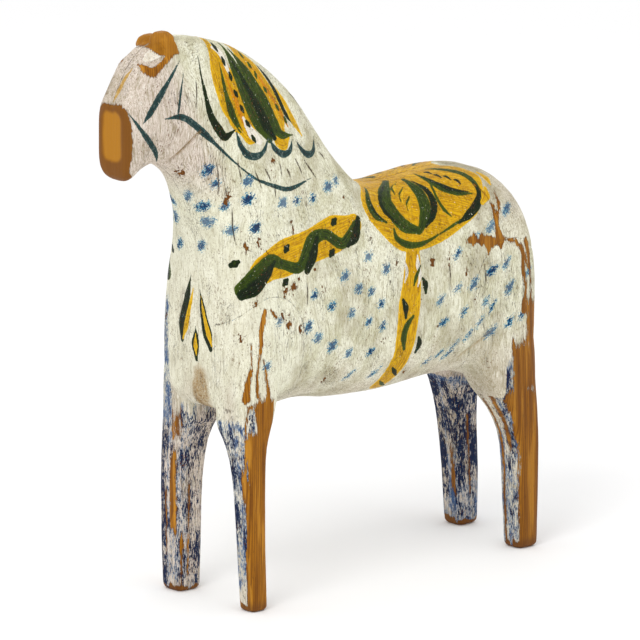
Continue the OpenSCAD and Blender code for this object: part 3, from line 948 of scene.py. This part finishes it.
def painted(surface):
    """The coat of the whole horse, its skin moved out by the thickness of the paint."""
    random = np.random.default_rng(SEED)
    coat = Coat(surface)
    paint_saddle_ground(coat)
    for plan in (MANE, BRIDLE, BREAST_STRAP, CHEST_TULIP, SADDLE, GIRTH):
        paint_strokes(coat, plan, random)
    for layer, places, length, width, way in DABS:
        paint_dabs(coat, layer, places, length, width, way, random)
    for y, lean in SADDLE_COMMAS:
        samples, share = traced(surface, "back", [(y - 2, lean - 1), (y, lean), (y + 1, lean + 4)])
        for found in both_sides(surface, "back", samples, random):
            coat.lay("dark", found, share, (0.4, 1.2, 0.6))
    paint_dab_rows(coat, random)
    paint_worn_places(coat)
    paint_legs(coat)
    coat.crack = crack_distance(surface)
    coat.stain = stain(surface)
    coat.middle, coat.arch = seam_distance(surface.points)
    breast = (surface.points[:, 1] < SHOULDER_Y) & (surface.points[:, 2] < NECK_Z)
    coat.middle[breast] = FAR_FROM_PAINT
    thicken(surface, coat)
    surface.points = kept_in_box(surface.points)
    return coat


# --------------------------------------------------------------------------- sawing into boards

def cut(target, cutter, operation):
    """target with a boolean made real; the cut faces take the cutter's material where the boolean passes it
    on, and otherwise keep the skin's.
    """
    modifier = target.modifiers.new("saw", "BOOLEAN")
    modifier.operation, modifier.object, modifier.solver = operation, cutter, "MANIFOLD"
    return applied(target)


def block(name, low, high):
    """A box between two corners in millimetres, as a cutter."""
    corners = [[(low, high)[(k >> a) & 1][a] * MM for a in range(3)] for k in range(8)]
    faces = [(0, 2, 3, 1), (4, 5, 7, 6), (0, 1, 5, 4), (2, 6, 7, 3), (0, 4, 6, 2), (1, 3, 7, 5)]
    return mesh_object(name, corners, faces)


ARCH_STEPS, BORE_STEPS = 40, 32
BORE_AIR = 0.05
BELLY_Z = 90
REACH = 200


def pocket_block(name, side, centre_y, radius, top_z, foot_low_y, foot_high_y):
    """The arched block of one leg board, wide enough below the belly for the leg, as a cutter."""
    arch_z = top_z - radius
    outline = [(centre_y + radius * math.cos(a), arch_z + radius * math.sin(a))
               for a in np.linspace(0, math.pi, ARCH_STEPS)]
    outline += [(centre_y - radius, BELLY_Z), (foot_low_y, BELLY_Z), (foot_low_y, -1),
                (foot_high_y, -1), (foot_high_y, BELLY_Z), (centre_y + radius, BELLY_Z)]
    count = len(outline)
    rows = [POCKET_FLOOR, REACH] if side > 0 else [-REACH, -POCKET_FLOOR]
    points = [(x * MM, y * MM, z * MM) for x in rows for y, z in outline]
    sides = [(k, (k + 1) % count, count + (k + 1) % count, count + k) for k in range(count)]
    ends = [tuple(range(count))[::-1], tuple(range(count, 2 * count))]
    return mesh_object(name, points, ends + sides)


def dowel_block(node):
    """A round cutter for one dowel's bore, with a little air round the dowel."""
    low, high = box_mm(node)
    centre, radius = (low + high) / 2, (high[2] - low[2]) / 2 + BORE_AIR
    count = BORE_STEPS
    ring = [(centre[1] + radius * math.cos(a), centre[2] + radius * math.sin(a))
            for a in np.linspace(0, 2 * math.pi, count, endpoint=False)]
    points = [(x * MM, y * MM, z * MM) for x in (low[0] - 1, high[0] + 1) for y, z in ring]
    sides = [(k, (k + 1) % count, count + (k + 1) % count, count + k) for k in range(count)]
    ends = [tuple(range(count))[::-1], tuple(range(count, 2 * count))]
    return mesh_object(node + "_bore", points, ends + sides)


SAW_GAP = 3
# The middle saw cut keeps the skin's slot, so its faces are found by place, this near the middle
ON_SAW_LINE = 0.01


def mend_cut_edges(mesh):
    """Parts the shading of skin and sawn faces, and carries the skin's coat up to the saw line.

    The middle glue line's own distance stays as it is, because it is 0 on that line.
    """
    on_line = np.abs(get(mesh.polygons, "center", 3)[:, 0]) < ON_SAW_LINE * MM
    upright = np.abs(get(mesh.polygons, "normal", 3)[:, 0]) > 0.99
    sawn_face = (get(mesh.polygons, "material_index", 1, np.int32) > 0) | (on_line & upright)
    mesh.polygons.foreach_set("material_index", sawn_face.astype(np.int32))
    edges = get(mesh.loops, "edge_index", 1, np.int32)
    sawn_loop = np.repeat(sawn_face, get(mesh.polygons, "loop_total", 1, np.int32))
    on_skin, on_cut = np.zeros(len(mesh.edges), bool), np.zeros(len(mesh.edges), bool)
    on_skin[edges[~sawn_loop]] = True
    on_cut[edges[sawn_loop]] = True
    sharp = mesh.attributes.get("sharp_edge") or mesh.attributes.new("sharp_edge", "BOOLEAN", "EDGE")
    sharp.data.foreach_set("value", on_skin & on_cut)
    ends = get(mesh.edges, "vertices", 2, np.int32)
    border = np.zeros(len(mesh.vertices), bool)
    border[ends[on_skin & on_cut]] = True
    source = np.arange(len(mesh.vertices))
    for here, there in ((0, 1), (1, 0)):
        link = on_skin & border[ends[:, here]] & ~border[ends[:, there]]
        source[ends[link, here]] = ends[link, there]
    for attribute in mesh.attributes:
        if attribute.name.startswith("coat_") and attribute.name != "coat_middle":
            values = get(attribute.data, "value", 1)
            attribute.data.foreach_set("value", values[source])


def sawn(surface, coat, cut_material):
    """The six wooden pieces of the carved skin, each with its coat."""
    whole = mesh_object("whole", surface.points * MM, surface.quads.tolist())
    whole.data.materials.append(bpy.data.materials.new("skin"))
    write_coat(whole.data, coat)
    legs = {}
    for node, side, centre, radius, top, box in (
            ("left_fore_leg", 1, SHOULDER_Y, SHOULDER_R, SHOULDER_TOP, LEFT_FORE),
            ("right_fore_leg", -1, SHOULDER_Y, SHOULDER_R, SHOULDER_TOP, RIGHT_FORE),
            ("left_hind_leg", 1, HAUNCH_Y, HAUNCH_R, HAUNCH_TOP, LEFT_HIND),
            ("right_hind_leg", -1, HAUNCH_Y, HAUNCH_R, HAUNCH_TOP, RIGHT_HIND)):
        legs[node] = pocket_block(node + "_saw", side, centre, radius, top,
                                  centre - radius - SAW_GAP, box[1][1] + SAW_GAP)
    halves = {"left_centre_board": block("left_saw", (0, -REACH, -1), (REACH, REACH, 2 * REACH)),
              "right_centre_board": block("right_saw", (-REACH, -REACH, -1), (0, REACH, 2 * REACH))}
    bores = [dowel_block(node) for node in DOWELS]
    cutters = [*legs.values(), *halves.values(), *bores]
    for cutter in cutters:
        cutter.data.materials.append(cut_material)
    pieces = {}
    for node in WOODEN:
        piece = whole.copy()
        piece.data = whole.data.copy()
        piece.name = node + "_carved"
        bpy.context.scene.collection.objects.link(piece)
        if node in legs:
            cut(piece, legs[node], "INTERSECT")
        else:
            cut(piece, halves[node], "INTERSECT")
            for leg, saw in legs.items():
                if leg.split("_")[0] == node.split("_")[0]:
                    cut(piece, saw, "DIFFERENCE")
        for bore in bores:
            cut(piece, bore, "DIFFERENCE")
        pieces[node] = piece
        mend_cut_edges(piece.data)
    for spent in [whole, *cutters]:
        bpy.data.objects.remove(spent)
    return pieces


def write_coat(mesh, coat):
    fields = {**coat.layer, "hair_u": coat.hair[:, 0], "hair_v": coat.hair[:, 1]}
    for name in ("bare", "wash", "deep", "pink", "rim", "polish", "tone", "crack", "stain", "middle", "arch"):
        fields[name] = getattr(coat, name)
    for name, values in fields.items():
        attribute = mesh.attributes.new("coat_" + name, "FLOAT", "POINT")
        attribute.data.foreach_set("value", np.clip(values, -FAR_FROM_PAINT * 99, 999).astype(np.float32))


# --------------------------------------------------------------------------- materials

class Tree:
    """A short way to write a node material."""

    def __init__(self, name):
        self.material = bpy.data.materials.new(name)
        self.material.use_nodes = True
        self.nodes, self.links = self.material.node_tree.nodes, self.material.node_tree.links
        self.shader = self.nodes["Principled BSDF"]
        place = self.add("ShaderNodeTexCoord").outputs["Object"]
        self.mm = self.vector("SCALE", place, scale=1 / MM)

    def add(self, kind, **settings):
        node = self.nodes.new(kind)
        for key, value in settings.items():
            setattr(node, key, value)
        return node

    def put(self, socket, value):
        if isinstance(value, bpy.types.NodeSocket):
            self.links.new(value, socket)
        elif value is not None:
            socket.default_value = value

    def math(self, operation, a, b=None, c=None, clamp=False):
        node = self.add("ShaderNodeMath", operation=operation, use_clamp=clamp)
        for socket, value in zip(node.inputs, (a, b, c)):
            self.put(socket, value)
        return node.outputs[0]

    def vector(self, operation, a, b=None, scale=None):
        node = self.add("ShaderNodeVectorMath", operation=operation)
        self.put(node.inputs[0], a)
        self.put(node.inputs[1], b)
        if scale is not None:
            self.put(node.inputs["Scale"], scale)
        return node.outputs["Value" if operation == "LENGTH" else "Vector"]

    def noise(self, place, cell, detail=2.0, rough=0.5, offset=(0, 0, 0), twist=0.0):
        """Noise around 0.5 with lumps of the given size in millimetres, one per axis."""
        sizes = cell if hasattr(cell, "__len__") else (cell,) * 3
        moved = self.vector("ADD", self.vector("MULTIPLY", place, tuple(1 / c for c in sizes)), offset)
        node = self.add("ShaderNodeTexNoise")
        self.put(node.inputs["Vector"], moved)
        for key, value in (("Scale", 1.0), ("Detail", detail), ("Roughness", rough), ("Distortion", twist)):
            self.put(node.inputs[key], value)
        return node.outputs["Fac"]

    def ramp(self, value, low, high, to_low=0.0, to_high=1.0):
        """Smooth step from to_low at low to to_high at high."""
        node = self.add("ShaderNodeMapRange", interpolation_type="SMOOTHSTEP")
        for key, v in (("Value", value), ("From Min", low), ("From Max", high),
                       ("To Min", to_low), ("To Max", to_high)):
            self.put(node.inputs[key], v)
        return node.outputs["Result"]

    def blend(self, share, a, b, kind="MIX"):
        node = self.add("ShaderNodeMix", data_type="RGBA", blend_type=kind, clamp_factor=True)
        self.put(node.inputs["Factor"], share)
        for socket, colour in ((node.inputs[6], a), (node.inputs[7], b)):
            self.put(socket, (*colour, 1) if isinstance(colour, tuple) else colour)
        return node.outputs[2]

    def coat(self, name):
        return self.add("ShaderNodeAttribute", attribute_name="coat_" + name).outputs["Fac"]

    def split(self, vector):
        return self.add_linked("ShaderNodeSeparateXYZ", vector).outputs

    def add_linked(self, kind, value):
        node = self.add(kind)
        self.put(node.inputs[0], value)
        return node

    def join(self, x, y, z):
        node = self.add("ShaderNodeCombineXYZ")
        for socket, value in zip(node.inputs, (x, y, z)):
            self.put(socket, value)
        return node.outputs[0]

    def finish(self, colour, height, strength, depth_mm):
        """Gives the shader its colour, and a bump whose relief is depth_mm deep."""
        bump = self.add("ShaderNodeBump")
        bump.inputs["Strength"].default_value = strength
        bump.inputs["Distance"].default_value = depth_mm * MM
        self.put(bump.inputs["Height"], height)
        self.put(self.shader.inputs["Normal"], bump.outputs["Normal"])
        self.put(self.shader.inputs["Base Color"], colour)


def srgb(r, g, b):
    """A colour given as eye values from 0 to 255, in the shader's linear values."""
    shares = (r / 255, g / 255, b / 255)
    return tuple(c / 12.92 if c <= 0.04045 else ((c + 0.055) / 1.055) ** 2.4 for c in shares)


HONEY, LATE_WOOD, DARK_WOOD = srgb(160, 103, 18), srgb(108, 62, 10), srgb(54, 28, 8)
PALE_WOOD = srgb(190, 132, 42)
GOLD, RED_BROWN = srgb(172, 117, 30), srgb(100, 60, 24)
CREAM, CREAM_GREY, PINK_GREY = srgb(229, 228, 206), srgb(203, 201, 172), srgb(208, 193, 182)
WHITE, GRIME = srgb(243, 242, 230), srgb(132, 118, 84)
PIT_BROWN, CRACK_BROWN = srgb(112, 62, 28), srgb(58, 40, 30)
YELLOW, OCHRE, ORANGE = srgb(218, 172, 4), srgb(168, 116, 2), srgb(200, 128, 0)
GREEN, DEEP_GREEN, BLACK_GREEN = srgb(58, 76, 6), srgb(20, 38, 6), srgb(4, 8, 4)
TEAL, DEEP_TEAL = srgb(36, 66, 64), srgb(6, 20, 24)
BLUE, PALE_BLUE, DEEP_BLUE = srgb(14, 92, 134), srgb(92, 164, 184), srgb(8, 40, 78)
GREY_BLUE = srgb(118, 138, 158)
STEEL, NAVY, GROOVE_SHADE_AND_KNOT_BROWN = srgb(42, 76, 120), srgb(12, 28, 60), srgb(146, 114, 62)


def pine(t, pith, ring, tone, polish=0.0):
    """Bare pine sawn from a board whose pith stands at pith (x, y): its colour and its height."""
    x, y, z = t.split(t.mm)
    sway = t.noise(t.mm, (46, 46, 190), 1.0)
    wander = t.noise(t.mm, (16, 16, 90), 2.0, offset=(7, 3, 1))
    dx = t.math("SUBTRACT", x, pith[0])
    dy = t.math("SUBTRACT", y, pith[1])
    away = t.vector("LENGTH", t.join(dx, dy, 0.0))
    away = t.math("MULTIPLY_ADD", sway, 7.0, away)
    away = t.math("MULTIPLY_ADD", wander, 2.0, away)
    year = t.math("FRACT", t.math("DIVIDE", away, ring))
    late = t.math("MULTIPLY", t.ramp(year, 0.2, 0.93), t.ramp(year, 1.0, 0.94))
    fibre = t.noise(t.mm, (0.3, 0.3, 8.0), 3.0, 0.6)
    vessel = t.noise(t.mm, (0.6, 0.6, 5.0), 2.0, 0.6, offset=(8, 1, 3))
    broad = t.noise(t.mm, (3.5, 3.5, 70), 2.0, offset=(2, 9, 4))
    calm = t.math("MULTIPLY_ADD", polish, -0.75, 1.0)
    colour = t.blend(t.math("MULTIPLY", late, t.math("MULTIPLY", calm, 0.85)), HONEY, LATE_WOOD)
    colour = t.blend(t.math("MULTIPLY", t.ramp(fibre, 0.46, 0.74, 0.0, 0.55), calm), colour, RED_BROWN)
    colour = t.blend(t.math("MULTIPLY", t.ramp(broad, 0.5, 0.66, 0.0, 0.8), calm), colour, LATE_WOOD)
    colour = t.blend(t.math("MULTIPLY", t.ramp(broad, 0.46, 0.34, 0.0, 0.7), calm), colour, PALE_WOOD)
    colour = t.blend(t.math("MULTIPLY", t.ramp(vessel, 0.62, 0.74, 0.0, 0.6), calm), colour, DARK_WOOD)
    colour = t.blend(t.math("MULTIPLY", polish, t.math("MULTIPLY_ADD", tone, -0.8, 0.75)), colour, GOLD)
    colour = t.blend(tone, colour, RED_BROWN)
    height = t.math("MULTIPLY_ADD", late, 0.6, t.math("MULTIPLY", fibre, 0.5))
    return colour, t.math("MULTIPLY", height, calm)


def covered(t, name, edge, softness=0.25):
    """How much of a paint layer lies at each point, with a brush-ragged edge."""
    return t.ramp(t.math("ADD", t.coat(name), edge), softness, -softness)


def ground_paint(t, along):
    """Old cream paint brushed down the grain, pinkish on head, chest and legs, with painted shade over the top
    of the rump: colour and height.
    """
    fine = t.noise(along, (0.45, 0.45, 4.5), 3.0, 0.65)
    coarse = t.noise(along, (1.3, 1.3, 18.0), 3.0, 0.6, offset=(3, 8, 2))
    lumps = t.noise(t.mm, (11.0, 11.0, 16.0), 3.0, 0.6, offset=(5, 1, 8))
    speckle = t.noise(t.mm, (0.9, 0.9, 1.3), 3.0, 0.7, offset=(1, 6, 2), twist=1.2)
    darkening = t.noise(t.mm, (24.0, 24.0, 34.0), 3.0, 0.6, offset=(9, 4, 7))
    _, y, z = t.split(along)
    breast = t.math("MULTIPLY", t.ramp(y, -20, -60), t.ramp(z, 265, 235))
    grime_and_rump_shade = t.math("MULTIPLY_ADD", breast, -0.55, 1.0)
    # More grime over the top of the rump: painted shade where the rump turns from the light
    rump_tint_and_shade = t.math("MULTIPLY", t.ramp(y, 92, 128), t.ramp(z, 190, 215))
    grime_and_rump_shade = t.math("MULTIPLY_ADD", rump_tint_and_shade, 0.6, grime_and_rump_shade)
    colour = t.blend(t.math("MULTIPLY", t.ramp(lumps, 0.38, 0.66), grime_and_rump_shade), CREAM, CREAM_GREY)
    colour = t.blend(t.math("MULTIPLY", t.coat("pink"), 0.9), colour, PINK_GREY)
    coarse_share = t.math("MULTIPLY_ADD", t.coat("pink"), 0.3, 0.28)
    colour = t.blend(t.math("MULTIPLY", t.ramp(coarse, 0.5, 0.66), coarse_share), colour, GRIME)
    colour = t.blend(t.math("MULTIPLY", t.ramp(fine, 0.5, 0.66, 0.0, 0.6), grime_and_rump_shade), colour, GRIME)
    colour = t.blend(t.ramp(fine, 0.46, 0.32, 0.0, 0.6), colour, WHITE)
    colour = t.blend(t.ramp(speckle, 0.54, 0.68, 0.0, 0.65), colour, GRIME)
    colour = t.blend(t.math("MULTIPLY", t.ramp(darkening, 0.48, 0.7, 0.0, 0.4), grime_and_rump_shade), colour, GRIME)
    height = t.math("MULTIPLY_ADD", fine, -0.7, t.math("MULTIPLY", coarse, -0.7))
    return colour, t.math("MULTIPLY_ADD", speckle, -0.5, height), speckle


def leg_wash(t, along, ground):
    """Blue, white and brown wash of the legs in broken streaks over the ground paint."""
    run = t.noise(along, (0.9, 0.9, 5.0), 4.0, 0.75, offset=(4, 4, 4))
    grit = t.noise(t.mm, (0.9, 0.9, 2.0), 3.0, 0.75, offset=(7, 1, 4))
    patch = t.noise(t.mm, (6.0, 6.0, 16.0), 3.0, 0.6, offset=(8, 2, 5))
    break_up = t.math("ADD", t.math("MULTIPLY", run, 0.6), t.math("MULTIPLY", grit, 0.4))
    break_up = t.math("MULTIPLY_ADD", patch, 0.5, break_up)
    blue = t.math("MULTIPLY_ADD", t.coat("wash"), 0.30, break_up)
    deep = t.math("MULTIPLY_ADD", t.coat("deep"), 0.27, break_up)
    colour = t.blend(t.math("MULTIPLY", t.ramp(blue, 0.97, 1.03), 0.7), ground, GREY_BLUE)
    colour = t.blend(t.math("MULTIPLY", t.ramp(blue, 1.03, 1.09), 0.9), colour, STEEL)
    colour = t.blend(t.math("MULTIPLY", t.ramp(deep, 0.96, 1.0), 0.95), colour, NAVY)
    brown = t.math("MULTIPLY", t.math("MAXIMUM", t.coat("wash"), t.coat("deep")),
                   t.ramp(t.noise(along, (0.9, 0.9, 9.0), 3.0, 0.7, offset=(2, 2, 9)), 0.56, 0.64))
    return t.blend(t.math("MULTIPLY", brown, 0.7), colour, DARK_WOOD)


# Each layer of decoration: its name, its shade at a stroke's edges, in the middle, and in dry hairs
SHADES = (
    ("yellow", YELLOW, OCHRE, srgb(226, 188, 52)), ("orange", ORANGE, OCHRE, YELLOW),
    ("cream", srgb(229, 224, 211), srgb(222, 214, 196), srgb(212, 196, 150)),
    ("green", GREEN, DEEP_GREEN, srgb(96, 112, 44)),
    ("teal", TEAL, DEEP_TEAL, srgb(136, 152, 144)), ("dark", DEEP_GREEN, BLACK_GREEN, GREEN),
    ("ochre", srgb(186, 150, 84), OCHRE, CREAM_GREY), ("yellow_over", YELLOW, OCHRE, srgb(236, 204, 96)),
)


# How many turns of the brush hair pattern there are per millimetre across a stroke and along it
HAIRS_ACROSS, HAIRS_ALONG = 1.9, 0.08


def decoration(t, ground, relief):
    """The brushed strokes: colour, height and gloss."""
    hair_place = t.join(t.math("MULTIPLY", t.coat("hair_u"), HAIRS_ACROSS),
                        t.math("MULTIPLY", t.coat("hair_v"), HAIRS_ALONG), 0.0)
    hairs = t.noise(hair_place, 1.0, 3.0, 0.6)
    fray = t.math("MULTIPLY_ADD", t.noise(t.mm, (1.2, 1.2, 2.0), 3.0, 0.6, offset=(3, 3, 9)), 1.0, -0.5)
    blotch = t.noise(t.mm, (2.2, 2.2, 3.2), 3.0, 0.65, offset=(4, 1, 6))
    gloss = 0.0
    colour = ground
    for layer, edge, core, dry in SHADES:
        mask = covered(t, layer, fray, 0.2)
        depth = t.math("MINIMUM", t.math("MULTIPLY", t.coat(layer), -1.0), 1.3)
        inside = t.math("MULTIPLY_ADD", hairs, 5.0, depth)
        tint = t.blend(t.ramp(inside, 3.2, 4.4), edge, core)
        tint = t.blend(t.ramp(hairs, 0.6, 0.74, 0.0, 0.75), tint, dry)
        tint = t.blend(t.ramp(blotch, 0.52, 0.7, 0.0, 0.45), tint, tuple(0.35 * c for c in core))
        tint = t.blend(t.ramp(blotch, 0.44, 0.3, 0.0, 0.4), tint, dry)
        colour = t.blend(mask, colour, tint)
        relief = t.math("MULTIPLY_ADD", mask, t.math("MULTIPLY_ADD", hairs, 1.3, 0.3), relief)
        gloss = t.math("MAXIMUM", gloss, mask)
    return colour, relief, gloss


def blue_dabs(t, x, y, z, colour):
    """Light blue dabs, each a bunch of slanting hairs."""
    slant = t.join(x, t.math("MULTIPLY_ADD", y, 0.82, t.math("MULTIPLY", z, 0.57)),
                   t.math("MULTIPLY_ADD", z, 0.82, t.math("MULTIPLY", y, -0.57)))
    bristle = t.noise(slant, (1.0, 2.6, 0.5), 2.0, 0.65, offset=(6, 2, 3))
    tuft = t.noise(t.mm, (0.9, 0.9, 0.9), 2.0, 0.7, offset=(2, 6, 8))
    bristle = t.math("MULTIPLY_ADD", tuft, 0.5, t.math("MULTIPLY", bristle, 0.6))
    body = t.noise(slant, (3.0, 5.0, 1.6), 2.0, 0.5, offset=(1, 7, 2))
    fringe = t.math("MULTIPLY_ADD", bristle, 15.0, -8.2)
    depth = t.math("ADD", t.coat("dabs"), fringe)
    dab = t.ramp(depth, 0.3, -0.2)
    core = t.math("MULTIPLY_ADD", body, 3.0, depth)
    tint = t.blend(t.ramp(core, 1.7, 0.5), PALE_BLUE, BLUE)
    tint = t.blend(t.math("MULTIPLY", t.ramp(core, 1.0, -0.4), t.coat("tone")), tint, DEEP_BLUE)
    strength = t.math("MULTIPLY_ADD", t.coat("tone"), 0.25, 0.75)
    return t.blend(t.math("MULTIPLY", dab, strength), colour, tint)


OLD_PAINT_SHINE = 0.12


def painted_pine(name, pith, ring):
    """One board of the horse: worn paint over bare pine, from the coat's distances."""
    t = Tree(name)
    x, y, z = t.split(t.mm)
    lean = t.noise(t.mm, (30, 30, 30), 1.0, offset=(3, 3, 3))
    along = t.vector("ADD", t.mm, t.join(0.0, t.math("MULTIPLY", t.math("MULTIPLY", z, lean), 0.06), 0.0))
    # How much darker and redder the bare wood is, from the coat's rim
    darkening = t.math("MINIMUM", t.math("MULTIPLY", t.coat("rim"), 0.75), 0.8)
    wood, wood_height = pine(t, pith, ring, darkening, t.coat("polish"))
    colour, relief, speckle = ground_paint(t, along)
    colour = leg_wash(t, along, colour)
    colour, relief, gloss = decoration(t, colour, relief)
    colour = blue_dabs(t, x, y, z, colour)

    # Painted shade in the grooves behind the jaw and before the thigh, and the brown of the real resin knot on
    # the chest
    groove_shade_and_knot_break_up = t.math("MULTIPLY_ADD", speckle, 2.4, -0.3)
    colour = t.blend(t.math("MULTIPLY", t.coat("stain"), groove_shade_and_knot_break_up), colour, GROOVE_SHADE_AND_KNOT_BROWN)

    # Flecks, pits, cracks and glue lines through every coat
    pits = t.noise(along, (0.7, 0.7, 1.5), 2.0, 0.65, offset=(9, 9, 1))
    pit_area = t.noise(t.mm, (13, 13, 18), 2.0, 0.6, offset=(1, 5, 5))
    pit = t.ramp(t.math("MULTIPLY_ADD", pit_area, 0.34, pits), 0.83, 0.88)
    hairline = t.noise(along, (1.5, 1.5, 22.0), 2.0, 0.55, offset=(2, 7, 7), twist=0.4)
    hairline = t.ramp(t.math("ABSOLUTE", t.math("SUBTRACT", hairline, 0.5)), 0.014, 0.004)
    hairline_area = t.ramp(t.noise(t.mm, (12, 12, 30), 2.0, offset=(4, 8, 6)), 0.52, 0.62)
    wobble = t.math("MULTIPLY_ADD", t.noise(t.mm, (0.8, 0.8, 3.0), 2.0, 0.6, offset=(5, 2, 2)), 0.9, -0.45)
    crack = t.ramp(t.math("ADD", t.coat("crack"), wobble), 0.18, -0.12)
    broken = t.noise(t.mm, (5, 5, 5), 2.0, 0.6, offset=(8, 8, 2))
    middle = t.math("MULTIPLY", t.ramp(t.math("ADD", t.coat("middle"), wobble), 0.35, 0.05),
                    t.math("MULTIPLY", t.ramp(broken, 0.34, 0.5), t.math("SUBTRACT", 1.0, t.coat("polish"))))
    arch = t.math("MULTIPLY", t.ramp(t.math("ADD", t.coat("arch"), wobble), 0.32, 0.05),
                  t.ramp(broken, 0.5, 0.6))
    cracks = t.math("MAXIMUM", t.math("MULTIPLY", hairline, hairline_area), crack)
    cracks = t.math("MAXIMUM", cracks, t.math("MAXIMUM", t.math("MULTIPLY", middle, 0.8), arch))
    fleck = t.ramp(t.noise(t.mm, (1.3, 1.3, 1.8), 3.0, 0.7, offset=(5, 5, 5)), 0.67, 0.7)
    colour = t.blend(t.math("MULTIPLY", fleck, t.math("MULTIPLY", gloss, 0.8)), colour, CREAM)
    colour = t.blend(t.math("MULTIPLY", pit, 0.85), colour, PIT_BROWN)
    colour = t.blend(t.math("MULTIPLY", cracks, 0.85), colour, CRACK_BROWN)

    # Bare wood where the paint has gone, with a thin dirty rim
    ragged = t.math("MULTIPLY_ADD", t.noise(t.mm, (0.8, 0.8, 5.0), 3.0, 0.75, offset=(6, 6, 1)), 4.6, -2.3)
    smooth_edge = t.math("MULTIPLY_ADD", t.coat("polish"), -0.8, 1.0)
    bare_depth = t.math("MULTIPLY_ADD", ragged, smooth_edge, t.coat("bare"))
    bare = t.ramp(bare_depth, -0.12, 0.12)
    rim = t.math("MULTIPLY", t.ramp(bare_depth, -0.7, -0.1), t.ramp(bare_depth, 0.5, 0.1))
    colour = t.blend(bare, colour, wood)
    colour = t.blend(t.math("MULTIPLY", rim, 0.4), colour, DARK_WOOD)

    relief = t.math("SUBTRACT", relief, t.math("MULTIPLY", t.math("MAXIMUM", pit, cracks), 1.6))
    painted_relief = t.math("ADD", relief, 1.9)
    height = t.math("ADD", t.math("MULTIPLY", painted_relief, t.math("SUBTRACT", 1.0, bare)),
                    t.math("MULTIPLY", wood_height, bare))
    t.finish(colour, height, 0.85, 0.2)
    shine = t.math("MAXIMUM", t.math("MULTIPLY", gloss, 1.2), t.math("MULTIPLY", bare, 0.8))
    rough = t.math("MULTIPLY_ADD", shine, -0.32, 0.7)
    t.put(t.shader.inputs["Roughness"], t.math("MULTIPLY_ADD", speckle, 0.14, rough))
    t.shader.inputs["Specular IOR Level"].default_value = OLD_PAINT_SHINE
    return t.material


def bare_board(name, pith, ring):
    """Sawn wood that was never painted: the glue faces, bores and dowels."""
    t = Tree(name)
    colour, height = pine(t, pith, ring, 0.0)
    t.finish(colour, height, 0.6, 0.15)
    t.put(t.shader.inputs["Roughness"], t.math("MULTIPLY_ADD", height, -0.15, 0.65))
    return t.material


def backdrop(name, colour):
    """Smooth pale paper, with the faintest unevenness."""
    t = Tree(name)
    darker = tuple(c * 0.98 for c in colour)
    t.put(t.shader.inputs["Base Color"], t.blend(t.noise(t.mm, 300.0), colour, darker))
    t.shader.inputs["Roughness"].default_value = 0.9
    return t.material


# Where each board's pith stood, as (x, y), and how far apart its growth rings are
PITH = {"left_centre_board": (70.0, -60.0), "right_centre_board": (-62.0, -40.0),
        "left_fore_leg": (24.0, -170.0), "right_fore_leg": (-30.0, -170.0),
        "left_hind_leg": (30.0, 240.0), "right_hind_leg": (-120.0, 120.0)}
RING = 1.35
SAWN_PITH = (60.0, 40.0)
DOWEL_PITH, DOWEL_RING = (3.0, 8.0), 2.2


# --------------------------------------------------------------------------- camera, floor and light

AZIMUTH, ELEVATION = math.radians(48), math.radians(14.3)
DISTANCE = 6.0
SENSOR, LENS = 36.0, 581.0
AIM = Vector((7.8, -0.8, 155.9)) * MM


def make_camera():
    back = Vector((math.sin(AZIMUTH) * math.cos(ELEVATION), -math.cos(AZIMUTH) * math.cos(ELEVATION),
                   math.sin(ELEVATION)))
    data = bpy.data.cameras.new("camera")
    data.sensor_width, data.lens = SENSOR, LENS
    data.clip_start, data.clip_end = 0.1, 50
    camera = bpy.data.objects.new("camera", data)
    camera.location = AIM + back * DISTANCE
    camera.rotation_mode = "QUATERNION"
    camera.rotation_quaternion = (-back).to_track_quat("-Z", "Y")
    bpy.context.scene.collection.objects.link(camera)
    bpy.context.scene.camera = camera


def area_light(name, place, size, power):
    data = bpy.data.lights.new(name, "AREA")
    data.shape, data.size, data.energy = "DISK", size, power
    light = bpy.data.objects.new(name, data)
    light.location = place
    light.rotation_mode = "QUATERNION"
    light.rotation_quaternion = (AIM - Vector(place)).to_track_quat("-Z", "Y")
    bpy.context.scene.collection.objects.link(light)


# Name, place in metres, size in metres and watts
LAMPS = (("key", (0.5, -1.2, 1.7), 0.9, 11), ("fill", (1.6, 0.2, 0.7), 1.2, 2))
FLOOR_HALF = 6.0


def studio():
    corners = [(x * FLOOR_HALF, y * FLOOR_HALF, 0) for x, y in ((-1, -1), (1, -1), (1, 1), (-1, 1))]
    floor = mesh_object("floor", corners, [(0, 1, 2, 3)])
    floor.data.materials.append(backdrop("pale_paper", srgb(250, 250, 250)))
    world = bpy.data.worlds.new("studio")
    world.use_nodes = True
    world.node_tree.nodes["Background"].inputs["Color"].default_value = (1, 1, 1, 1)
    world.node_tree.nodes["Background"].inputs["Strength"].default_value = 1.0
    bpy.context.scene.world = world
    for name, place, size, power in LAMPS:
        area_light(name, place, size, power)
    bpy.context.scene.view_settings.view_transform = "Standard"


# --------------------------------------------------------------------------- the horse

make_camera()
studio()
surface = carve()
coat = painted(surface)
cut_material = bare_board("sawn_pine", SAWN_PITH, RING)
for node, piece in sawn(surface, coat, cut_material).items():
    piece.data.materials[0] = painted_pine("painted_" + node, PITH[node], RING)
    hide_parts(node)
    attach(piece, "root")
dowel_wood = bare_board("birch", DOWEL_PITH, DOWEL_RING)
for node in DOWELS:
    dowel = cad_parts[node]
    dowel.data.materials.clear()
    dowel.data.materials.append(dowel_wood)
